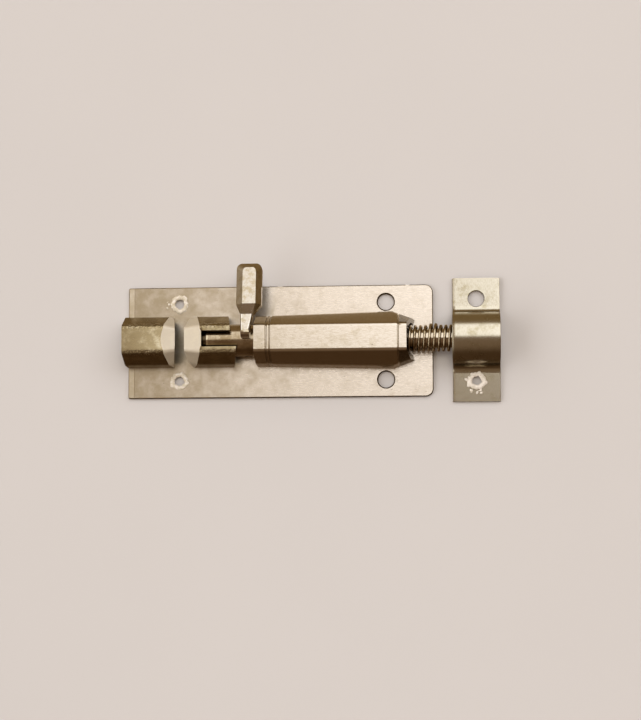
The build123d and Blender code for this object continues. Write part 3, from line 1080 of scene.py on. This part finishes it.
def make_lever():
    """The lever: a tang in the rod, a stem, a neck and a bevelled thumb piece in one body."""
    lever = settings().lever
    hood = settings().hood
    stem_high_y = hood.slot_width / 2 - lever.underside_gap
    crown = hood.crown_height + lever.underside_gap
    axis = settings().spring.axis_height
    half = lever.stem_width / 2
    tang_low = axis + lever.rod_radius - lever.tang_depth
    body = add_block(
        "lever_arm",
        (lever.x - half, stem_high_y - lever.stem_thickness, tang_low),
        (lever.x + half, stem_high_y, crown + lever.neck_thickness / 2),
    )
    paddle = make_paddle()
    sink = (lever.paddle_thickness - lever.neck_thickness) / 2
    paddle.location = (lever.paddle_offset, lever.neck_length, -sink)
    neck = make_neck()
    for part in (paddle, neck):
        settle(part)
        part.rotation_euler = (-lever.droop, 0, 0)
        part.location = (lever.x, stem_high_y, crown)
        settle(part)
    fuse(neck, paddle)
    fuse(body, neck)
    across = (pi / 2, 0, 0)
    carve(body, add_cylinder("pin_hole", (lever.x, 0, axis), lever.pin_radius, THROUGH, rotation=across))
    clean(body)
    ease_edges(body, lever.edge, angle=14, segments=3)
    smooth(body)
    return body


# Keeper

def strap_edge(strap, y, z):
    """Selects the strap's edge that runs along the bolt at one place."""
    choose(
        strap,
        "EDGE",
        lambda e: runs_along(e, 0) and at(middle_of(e).y, y) and at(middle_of(e).z, z),
    )


def spin_up(y, z, degrees, steps):
    """Spins the selected edge about a line along the bolt, clockwise seen from the keeper's end."""
    bpy.ops.mesh.spin(steps=steps, angle=radians(degrees), center=(0, y, z), axis=(1, 0, 0))


def press_strap():
    """The outer skin of the strap: a foot, a bend, an arch, a bend and a foot, from one edge."""
    keeper = settings().keeper
    axis = settings().spring.axis_height
    top = keeper.thickness
    outer = keeper.arch_radius + keeper.thickness
    foot_y = outer + keeper.flare
    bend_z = top + keeper.flare
    foot_length = keeper.length / 2 - foot_y
    middle = keeper.start + keeper.width / 2
    leave_all()
    bpy.ops.mesh.primitive_plane_add(size=1, location=(middle, -foot_y - foot_length / 2, top))
    bpy.context.object.scale = (keeper.width, foot_length, 1)
    strap = new_piece("keeper_strap")
    strap_edge(strap, -foot_y, top)
    spin_up(-foot_y, bend_z, -90, steps=8)
    strap_edge(strap, -outer, bend_z)
    bpy.ops.mesh.extrude_region_move(TRANSFORM_OT_translate={"value": (0, 0, axis - bend_z)})
    strap_edge(strap, -outer, axis)
    spin_up(0, axis, 180, steps=40)
    strap_edge(strap, outer, axis)
    bpy.ops.mesh.extrude_region_move(TRANSFORM_OT_translate={"value": (0, 0, bend_z - axis)})
    strap_edge(strap, outer, bend_z)
    spin_up(foot_y, bend_z, -90, steps=8)
    strap_edge(strap, foot_y, top)
    bpy.ops.mesh.extrude_region_move(TRANSFORM_OT_translate={"value": (0, foot_length, 0)})
    clean(strap)
    return strap


def outside_of_strap(v):
    """True for a point of the strap's outer side."""
    keeper = settings().keeper
    axis = settings().spring.axis_height
    outer = keeper.arch_radius + keeper.thickness
    if v.co.z >= axis:
        return at(Vector((0, v.co.y, v.co.z - axis)).length, outer)
    if abs(v.co.y) > outer + NEAR:
        return v.normal.z > 0
    return at(abs(v.co.y), outer)


def on_strap_rim(face):
    """True for a face of the strap's cut rim, which gets painted shade as a dark outline."""
    at_end = abs(face.calc_center_median().y) > settings().keeper.length / 2 - 2 * NEAR
    return abs(face.normal.x) > 0.6 or (at_end and abs(face.normal.y) > 0.6)


def make_keeper():
    """The strap with its rolled edges and two screw holes, the lower one torn."""
    keeper = settings().keeper
    left, right = keeper.start, keeper.start + keeper.width
    end_y = keeper.length / 2
    strap = press_strap()
    apply_modifier(
        strap, "SOLIDIFY", thickness=keeper.thickness, offset=-1, use_even_offset=True
    )
    for x in (left + keeper.left_roll, right - keeper.right_roll):
        cut(strap, (x, 0, 0), (1, 0, 0))
    choose(
        strap,
        "VERT",
        lambda v: (at(v.co.x, left) or at(v.co.x, right)) and outside_of_strap(v),
    )
    bpy.ops.transform.shrink_fatten(value=-keeper.roll_drop)
    choose(
        strap,
        "VERT",
        lambda v: v.co.y < keeper.edge - end_y and v.co.z > keeper.thickness / 2,
    )
    move((0, 0, -keeper.foot_drop))
    middle = (left + right) / 2
    diameter, top = keeper.hole_diameter, keeper.thickness
    for y, wander in ((-keeper.hole_spacing / 2, keeper.torn_wander), (keeper.hole_spacing / 2, 0.0)):
        carve(strap, screw_hole(middle, y, diameter, keeper.rim, top, wander, hole_seed(y)))
    clean(strap)
    ease_edges(strap, keeper.edge, angle=50, segments=2)
    smooth(strap)
    return strap


def make_keeper_burrs():
    """A ridge round the keeper's torn hole, one large crumb beside it and small ones below."""
    keeper = settings().keeper
    x = keeper.start + keeper.width / 2
    y = -keeper.hole_spacing / 2
    top = keeper.thickness - keeper.torn_sink
    ridge = (x, y, top, keeper.hole_diameter, keeper.torn_ridge, keeper.torn_wander, hole_seed(y))
    crumbs = crumbs_beside(x, y, top, STRAP_HOLE_CRUMBS)
    chance = Random(4)
    along, below, radius = (-2.2, 1.4), (-2.4, -3.3), (0.25, 0.5)
    small = [[chance.uniform(*span) for span in (along, below, radius)] for _ in range(9)]
    crumbs += crumbs_beside(x, y, top - 2 * keeper.torn_sink, small)
    return make_burrs("keeper_burrs", [ridge], crumbs)


# Materials

def add_node(tree, kind, inputs=None, **values):
    """Adds a shader node, sets its values, and links or sets its inputs."""
    node = tree.nodes.new(kind)
    for name, value in values.items():
        setattr(node, name, value)
    for name, value in (inputs or {}).items():
        if isinstance(value, bpy.types.NodeSocket):
            tree.links.new(value, node.inputs[name])
        else:
            node.inputs[name].default_value = value
    return node


def coordinates(tree, stretch=(1, 1, 1)):
    """The piece's own coordinates, closer together along some axes."""
    place = add_node(tree, "ShaderNodeTexCoord").outputs["Object"]
    mapping = add_node(tree, "ShaderNodeMapping", {"Vector": place, "Scale": stretch})
    return mapping.outputs["Vector"]


def noise(tree, place, spacing, detail=3.0, roughness=0.5):
    """Noise whose lumps are about one spacing apart."""
    node = add_node(
        tree,
        "ShaderNodeTexNoise",
        {"Vector": place, "Scale": 1 / spacing, "Detail": detail, "Roughness": roughness},
    )
    return node.outputs["Fac"]


def blend_range(tree, value, low, high, from_value=0.0, to_value=1.0):
    """A value that runs from one number to another between two places."""
    node = add_node(
        tree,
        "ShaderNodeMapRange",
        {
            "Value": value,
            "From Min": low,
            "From Max": high,
            "To Min": from_value,
            "To Max": to_value,
        },
        interpolation_type="SMOOTHSTEP",
    )
    return node.outputs["Result"]


def mix(tree, factor, first, second):
    """Mixes two colours."""
    node = add_node(tree, "ShaderNodeMix", data_type="RGBA")
    sockets = {0: factor, 6: first, 7: second}
    for index, value in sockets.items():
        if isinstance(value, bpy.types.NodeSocket):
            tree.links.new(value, node.inputs[index])
        elif index == 0:
            node.inputs[index].default_value = value
        else:
            node.inputs[index].default_value = (*value, 1)
    return node.outputs[2]


def calculate(tree, operation, first, second=0.0):
    """Works out one value from two."""
    node = add_node(tree, "ShaderNodeMath", operation=operation)
    for index, value in enumerate((first, second)):
        if isinstance(value, bpy.types.NodeSocket):
            tree.links.new(value, node.inputs[index])
        else:
            node.inputs[index].default_value = value
    return node.outputs["Value"]


def bump(tree, height, depth, normal=None):
    """A bump of a real depth in metres, laid over another."""
    inputs = {"Height": height, "Distance": depth}
    if normal is not None:
        inputs["Normal"] = normal
    return add_node(tree, "ShaderNodeBump", inputs).outputs["Normal"]


def crown_wear(tree, place):
    """One on the bends beside a hood's crown, where hands and sheet rub, and nothing elsewhere."""
    half = settings().hood.crown_half_width
    height = settings().hood.crown_height
    parts = add_node(tree, "ShaderNodeSeparateXYZ", {"Vector": place}).outputs
    side = calculate(tree, "ABSOLUTE", parts["Y"])
    wide, narrow = 0.9 * MM, 0.3 * MM
    inner = blend_range(tree, side, half - wide, half - narrow)
    outer = blend_range(tree, side, half + wide, half + narrow)
    unworn, worn = 2.2 * MM, 1.2 * MM
    high = blend_range(tree, parts["Z"], height - unworn, height - worn)
    return calculate(tree, "MULTIPLY", calculate(tree, "MULTIPLY", inner, outer), high)


def tarnish_share(tree, place, along, spacing, patchy, mottle):
    """How much of the darker colour there is at each place: in clouds of tarnish, and more of it towards
    the tail.
    """
    cloud = noise(tree, place, spacing, detail=6, roughness=0.65)
    cloud = blend_range(tree, cloud, 0.0, 1.0, 0.5 - patchy / 2, 0.5 + patchy / 2)
    # The metal is made darker towards the tail, by a share that grows along X
    lighter_x, darker_x, swing = 15 * MM, -38 * MM, 0.12
    toward_tail = blend_range(tree, along, lighter_x, darker_x, -swing, swing)
    return blend_range(tree, calculate(tree, "ADD", cloud, toward_tail), 0.35, 0.70, 0.0, mottle)


def lay_bands(tree, base, along, bands):
    """Lays bands over a colour, each with its own colour between two places along X."""
    edge = 0.05 * MM
    for low, high, shade in bands:
        past_low = blend_range(tree, along, low - edge, low + edge)
        before_high = blend_range(tree, along, high + edge, high - edge)
        base = mix(tree, calculate(tree, "MULTIPLY", past_low, before_high), base, shade)
    return base


def crown_knocks(tree, place, normal):
    """Lays small knocks over the bends beside a hood's crown."""
    spacing, depth = 0.55 * MM, 0.25 * MM
    knocks = calculate(tree, "SUBTRACT", noise(tree, place, spacing, detail=3), 0.5)
    return bump(tree, calculate(tree, "MULTIPLY", knocks, crown_wear(tree, place)), depth, normal)


def plated_metal(
    name,
    bright,
    tarnish,
    roughness,
    clouds=3.0,
    patchy=1.0,
    mottle=1.0,
    brushing=(0.15, 1, 1),
    pits=0.01,
    grain_depth=0.0012,
    metallic=1.0,
    bands=(),
    worn_crown=False,
):
    """Plated steel: clouds of tarnish, fine brushing, pits, and a slightly wavy sheet.

    Patchy is how much the clouds differ, and mottle how much tarnish there is. A band has a
    colour of its own between two places along X.
    """
    material = bpy.data.materials.new(name)
    material.use_nodes = True
    tree = material.node_tree
    shader = tree.nodes["Principled BSDF"]
    shader.inputs["Metallic"].default_value = metallic
    place = coordinates(tree)
    along = add_node(tree, "ShaderNodeSeparateXYZ", {"Vector": place}).outputs["X"]
    grain_spacing, pit_spacing, wave_spacing = 0.15 * MM, 0.45 * MM, 4 * MM
    cloud_share = tarnish_share(tree, place, along, clouds * MM, patchy, mottle)
    grain = noise(tree, coordinates(tree, brushing), grain_spacing, detail=4)
    grain_share = blend_range(tree, grain, 0.35, 0.75, 0.0, 0.3 * patchy)
    pit_share = blend_range(tree, noise(tree, place, pit_spacing, detail=2), 0.72, 0.80)

    base = mix(tree, cloud_share, tuple(bright), tuple(tarnish))
    base = mix(tree, grain_share, base, tuple(tarnish))
    base = mix(tree, pit_share, base, tuple(0.4 * c for c in tarnish))
    base = lay_bands(tree, base, along, bands)
    tree.links.new(base, shader.inputs["Base Color"])

    rough = blend_range(tree, grain, 0.3, 0.8, roughness, roughness + 0.08)
    rough = calculate(tree, "ADD", rough, calculate(tree, "MULTIPLY", cloud_share, 0.05))
    tree.links.new(rough, shader.inputs["Roughness"])

    wave_depth = 0.006 * MM
    normal = bump(tree, noise(tree, place, wave_spacing, detail=2), wave_depth)
    normal = bump(tree, grain, grain_depth * MM, normal)
    normal = bump(tree, calculate(tree, "SUBTRACT", 1.0, pit_share), pits * MM, normal)
    if worn_crown:
        normal = crown_knocks(tree, place, normal)
    tree.links.new(normal, shader.inputs["Normal"])
    return material


def plate_plating():
    """The plate's plating, which is nearly even."""
    finish = settings().finish
    return plated_metal(
        "plate_plating", finish.plate_bright, finish.plate_tarnish, roughness=0.26, patchy=0.35
    )


def dull_edge_and_shade(name):
    """The dull metal of a sheet's cut edges, darkened further as painted shade so that the rims show as
    dark outlines.
    """
    finish = settings().finish
    return plated_metal(name, finish.edge, finish.rod_tarnish, roughness=0.3)


def torn_metal(name):
    """The bare metal of torn edges and burrs."""
    finish = settings().finish
    return plated_metal(
        name, finish.torn, finish.ground, roughness=0.5, clouds=1, metallic=0.3
    )


def guide_plating():
    """The plating of the two guides, with knocks beside the crown."""
    finish = settings().finish
    return plated_metal(
        "guide_plating",
        finish.guide_bright,
        finish.guide_tarnish,
        roughness=0.15,
        worn_crown=True,
    )


def ground_metal():
    """The bare metal of the guides' ground bevels."""
    finish = settings().finish
    return plated_metal(
        "ground_metal",
        finish.ground,
        finish.barrel_bright,
        roughness=0.45,
        mottle=0.4,
        metallic=0.35,
    )


def barrel_plating():
    """The barrel's plating, cleaner than the guides'."""
    finish = settings().finish
    return plated_metal(
        "barrel_plating",
        finish.barrel_bright,
        finish.barrel_tarnish,
        roughness=0.15,
        mottle=0.5,
        pits=0.005,
    )


def nose_painted_shade():
    """Painted shade on the sides of the barrel's narrowing nose: a dark colour standing in for the dark
    reflection there.
    """
    finish = settings().finish
    return plated_metal(
        "nose_painted_shade", finish.edge, finish.guide_tarnish, roughness=0.25, mottle=0.6
    )


def wire_steel():
    """The spring's wire."""
    finish = settings().finish
    return plated_metal(
        "spring_wire", finish.wire_bright, finish.wire_tarnish, roughness=0.18, clouds=1
    )


def lever_plating():
    """The lever's plating."""
    finish = settings().finish
    return plated_metal(
        "lever_plating", finish.lever_bright, finish.lever_tarnish, roughness=0.14, clouds=2
    )


def keeper_plating():
    """The keeper's plating, brushed across the bolt."""
    finish = settings().finish
    return plated_metal(
        "keeper_plating",
        finish.keeper_bright,
        finish.keeper_tarnish,
        roughness=0.19,
        brushing=(1, 0.2, 1),
    )


def rod_steel():
    """The turned rod, with a dark band of painted shadow and a bright band of painted highlight near its
    tail.
    """
    finish = settings().finish
    rod = settings().rod
    # Painted shadow: the rod's tarnish colour darkened, laid as a band along the rod
    shadow = tuple(0.3 * c for c in finish.rod_tarnish)
    return plated_metal(
        "rod_steel",
        finish.rod_bright,
        finish.rod_tarnish,
        roughness=0.12,
        clouds=4,
        brushing=(1, 0.2, 0.2),
        pits=0.002,
        grain_depth=0.0003,
        bands=(
            (rod.shadow_start, rod.shadow_end, shadow),
            (rod.highlight_start, rod.highlight_end, tuple(finish.ground)),
        # Painted highlight: a band of bright bare-metal colour
        ),
    )


def turned_brass():
    """The spring's turned seat."""
    finish = settings().finish
    return plated_metal(
        "bush_brass",
        finish.brass,
        finish.brass_dull,
        roughness=0.25,
        clouds=2,
        brushing=(1, 0.2, 0.2),
    )


def pale_floor_material():
    """The matt floor, very slightly mottled."""
    material = bpy.data.materials.new("pale_floor")
    material.use_nodes = True
    tree = material.node_tree
    shader = tree.nodes["Principled BSDF"]
    base = tuple(settings().stage.floor)
    spacing = 60 * MM
    mottle = blend_range(tree, noise(tree, coordinates(tree), spacing), 0.3, 0.7, 0.0, 0.25)
    darker = tuple(0.95 * c for c in base)
    tree.links.new(mix(tree, mottle, base, darker), shader.inputs["Base Color"])
    shader.inputs["Roughness"].default_value = 0.8
    shader.inputs["Specular IOR Level"].default_value = 0.2
    return material


# Stage

def look_from(place, target, roll):
    """The turn of a camera that stands at place, looks at target, and has X to its right."""
    ahead = (target - place).normalized()
    right = Vector((cos(roll), -sin(roll), 0))
    right = (right - ahead * right.dot(ahead)).normalized()
    up = right.cross(ahead)
    return Matrix((right, up, -ahead)).transposed()


def add_camera():
    """The camera, at the picture's viewing angle."""
    stage = settings().stage
    place = Vector((stage.camera_x, stage.camera_y, stage.camera_z))
    target = Vector((stage.target_x, stage.target_y, stage.target_z))
    data = bpy.data.cameras.new("camera")
    data.lens = stage.lens
    data.sensor_width = 36
    data.clip_start = 10 * MM
    camera = bpy.data.objects.new("camera", data)
    bpy.context.scene.collection.objects.link(camera)
    camera.matrix_world = Matrix.Translation(place) @ look_from(place, target, stage.roll).to_4x4()
    bpy.context.scene.camera = camera


def add_key_light():
    """The soft lamp over the floor, which the metal doesn't mirror."""
    stage = settings().stage
    place = Vector((stage.key_x, stage.key_y, stage.key_z))
    data = bpy.data.lights.new("key_light", "AREA")
    data.size = stage.key_width
    data.energy = stage.key_power
    data.color = stage.key_tint
    light = bpy.data.objects.new("key_light", data)
    bpy.context.scene.collection.objects.link(light)
    light.location = place
    light.rotation_euler = (-place).to_track_quat("-Z", "Y").to_euler()
    light.visible_glossy = False


def add_surroundings():
    """A room with a broad soft light overhead, a weaker one at the left, and dim brown walls."""
    stage = settings().stage
    world = bpy.data.worlds.new("room")
    world.use_nodes = True
    bpy.context.scene.world = world
    tree = world.node_tree
    shader = tree.nodes["Background"]
    direction = add_node(tree, "ShaderNodeTexCoord").outputs["Generated"]
    # X, Y and Z of a direction run from -1 to 1, and each light fades between two of their values.
    parts = add_node(tree, "ShaderNodeSeparateXYZ", {"Vector": direction}).outputs
    over_x = blend_range(tree, parts["X"], -0.40, 0.02)
    over_y = blend_range(tree, parts["Y"], -0.02, 0.07)
    over_z = blend_range(tree, parts["Z"], 0.40, 0.58)
    overhead = calculate(tree, "MULTIPLY", calculate(tree, "MULTIPLY", over_x, over_y), over_z)
    left_x = blend_range(tree, parts["X"], -0.42, -0.54)
    left_z = blend_range(tree, parts["Z"], -0.25, 0.65)
    left = calculate(tree, "MULTIPLY", calculate(tree, "MULTIPLY", left_x, left_z), 0.9)
    lit = calculate(tree, "MAXIMUM", overhead, left)
    far_side = blend_range(tree, parts["Y"], -0.3, 0.6)
    wall = mix(tree, far_side, tuple(stage.near_wall), tuple(stage.far_wall))
    raised = blend_range(tree, parts["Z"], 0.2, 0.85)
    wall = mix(tree, raised, wall, tuple(stage.ceiling))
    dim = mix(tree, blend_range(tree, lit, 0.0, 0.45), wall, tuple(stage.half_light))
    room = mix(tree, blend_range(tree, lit, 0.45, 1.0), dim, tuple(stage.light))
    camera_ray = add_node(tree, "ShaderNodeLightPath").outputs["Is Camera Ray"]
    pale = tuple(c / stage.light_strength for c in stage.backdrop)
    tree.links.new(mix(tree, camera_ray, room, pale), shader.inputs["Color"])
    shader.inputs["Strength"].default_value = stage.light_strength


def add_floor():
    """The pale floor, which the metal doesn't mirror."""
    leave_all()
    bpy.ops.mesh.primitive_plane_add(size=4, location=(0, 0, 0))
    floor = new_piece("floor")
    floor.data.materials.append(pale_floor_material())
    floor.visible_glossy = False


# Operators, one for each group of pieces

class DOORBOLT_OT_stage(bpy.types.Operator):
    """Adds the floor, the lights, the surroundings and the camera"""

    bl_idname = "door_bolt.stage"
    bl_label = "Stage"

    def execute(self, context):
        add_floor()
        add_surroundings()
        add_camera()
        add_key_light()
        context.scene.view_settings.view_transform = "Standard"
        return {"FINISHED"}


class DOORBOLT_OT_plate(bpy.types.Operator):
    """Models the stamped plate and the torn metal round its holes"""

    bl_idname = "door_bolt.plate"
    bl_label = "Plate"

    def execute(self, context):
        sheet = dress(make_plate(), plate_plating(), "plate_nickel", "root", "backplate")
        # The rims get the dark cut-edge colour, partly dull metal and partly painted shade
        paint(sheet, dull_edge_and_shade("edge_metal_and_shade"), on_plate_rim)
        torn = torn_metal("torn_metal")
        dress(make_plate_burrs(), torn, "plate_nickel", "root")
        diameter = settings().plate.hole_diameter
        for x, y, torn_hole in plate_holes():
            if torn_hole:
                paint(sheet, torn, lambda f: in_hole(f, x, y, diameter))
        return {"FINISHED"}


class DOORBOLT_OT_hoods(bpy.types.Operator):
    """Models the tail guide, the slotted guide and the barrel"""

    bl_idname = "door_bolt.hoods"
    bl_label = "Hoods"

    def execute(self, context):
        places = settings().places
        plating = guide_plating()
        ground = ground_metal()
        tail = dress(make_tail_guide(), plating, "hood_nickel", "root", "tail_guide")
        line = (places.tail_bevel_foot, places.tail_bevel_crown, 1)
        paint(tail, ground, lambda f: on_bevel(f, *line))
        guide = dress(make_slotted_guide(), plating, "hood_nickel", "root", "slotted_guide")
        line = (places.guide_bevel_foot, places.guide_bevel_crown, -1)
        paint(guide, ground, lambda f: on_bevel(f, *line))
        barrel = dress(make_barrel(), barrel_plating(), "hood_nickel", "root", "barrel")
        # Painted shade: the sides of the nose get a dark colour for the dark reflection they show
        paint(barrel, nose_painted_shade(), past_nose_crimp)
        return {"FINISHED"}


class DOORBOLT_OT_spring(bpy.types.Operator):
    """Models the spring"""

    bl_idname = "door_bolt.spring"
    bl_label = "Spring"

    def execute(self, context):
        spring = dress(make_spring(), wire_steel(), "spring_wire", "root", "compression_spring")
        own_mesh(spring)
        return {"FINISHED"}


class DOORBOLT_OT_lever(bpy.types.Operator):
    """Models the lever"""

    bl_idname = "door_bolt.lever"
    bl_label = "Lever"

    def execute(self, context):
        dress(make_lever(), lever_plating(), "lever_nickel", "bolt", "lever_handle")
        return {"FINISHED"}


class DOORBOLT_OT_keeper(bpy.types.Operator):
    """Models the keeper and the torn metal round its lower hole"""

    bl_idname = "door_bolt.keeper"
    bl_label = "Keeper"

    def execute(self, context):
        strap = dress(make_keeper(), keeper_plating(), "keeper_nickel", "root", "keeper")
        torn = torn_metal("torn_strap")
        # The strap's rim gets the dark cut-edge colour, partly dull metal and partly painted shade
        paint(strap, dull_edge_and_shade("strap_edge"), on_strap_rim)
        dress(make_keeper_burrs(), torn, "keeper_nickel", "root")
        keeper = settings().keeper
        x, y = keeper.start + keeper.width / 2, -keeper.hole_spacing / 2
        paint(strap, torn, lambda f: in_hole(f, x, y, keeper.hole_diameter))
        return {"FINISHED"}


class DOORBOLT_OT_turned(bpy.types.Operator):
    """Gives the turned pieces their finishes"""

    bl_idname = "door_bolt.turned"
    bl_label = "Turned pieces"

    def execute(self, context):
        steel = rod_steel()
        finishes = {
            "bolt_rod": steel,
            "bolt_tip": steel,
            "thrust_washer": steel,
            "lever_pin": steel,
            "spring_seat_bush": turned_brass(),
        }
        for name, metal in finishes.items():
            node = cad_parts[name]
            node.data.materials.clear()
            node.data.materials.append(metal)
        return {"FINISHED"}


class DOORBOLT_PT_panel(bpy.types.Panel):
    """Lists the door bolt's pieces"""

    bl_idname = "DOORBOLT_PT_panel"
    bl_label = "Door bolt"
    bl_space_type = "VIEW_3D"
    bl_region_type = "UI"
    bl_category = "Door bolt"

    def draw(self, context):
        for operator in OPERATORS:
            self.layout.operator(operator.bl_idname)


OPERATORS = (
    DOORBOLT_OT_stage,
    DOORBOLT_OT_plate,
    DOORBOLT_OT_hoods,
    DOORBOLT_OT_spring,
    DOORBOLT_OT_lever,
    DOORBOLT_OT_keeper,
    DOORBOLT_OT_turned,
)
GROUPS = (
    PlateSizes,
    HoodSizes,
    HoodPlaces,
    SpringSizes,
    RodSizes,
    LeverSizes,
    KeeperSizes,
    Finishes,
    StageSettings,
    DoorBoltSettings,
)


def register():
    """Makes the settings, the operators and the panel known to Blender."""
    for kind in (*GROUPS, *OPERATORS, DOORBOLT_PT_panel):
        bpy.utils.register_class(kind)
    bpy.types.Scene.door_bolt = PointerProperty(type=DoorBoltSettings)


def unregister():
    """Takes them out again."""
    del bpy.types.Scene.door_bolt
    for kind in reversed((*GROUPS, *OPERATORS, DOORBOLT_PT_panel)):
        bpy.utils.unregister_class(kind)


def main():
    """Registers everything and makes the pieces in order."""
    register()
    bpy.ops.door_bolt.stage()
    bpy.ops.door_bolt.plate()
    bpy.ops.door_bolt.hoods()
    bpy.ops.door_bolt.spring()
    bpy.ops.door_bolt.lever()
    bpy.ops.door_bolt.keeper()
    bpy.ops.door_bolt.turned()


if __name__ == "__main__":
    main()
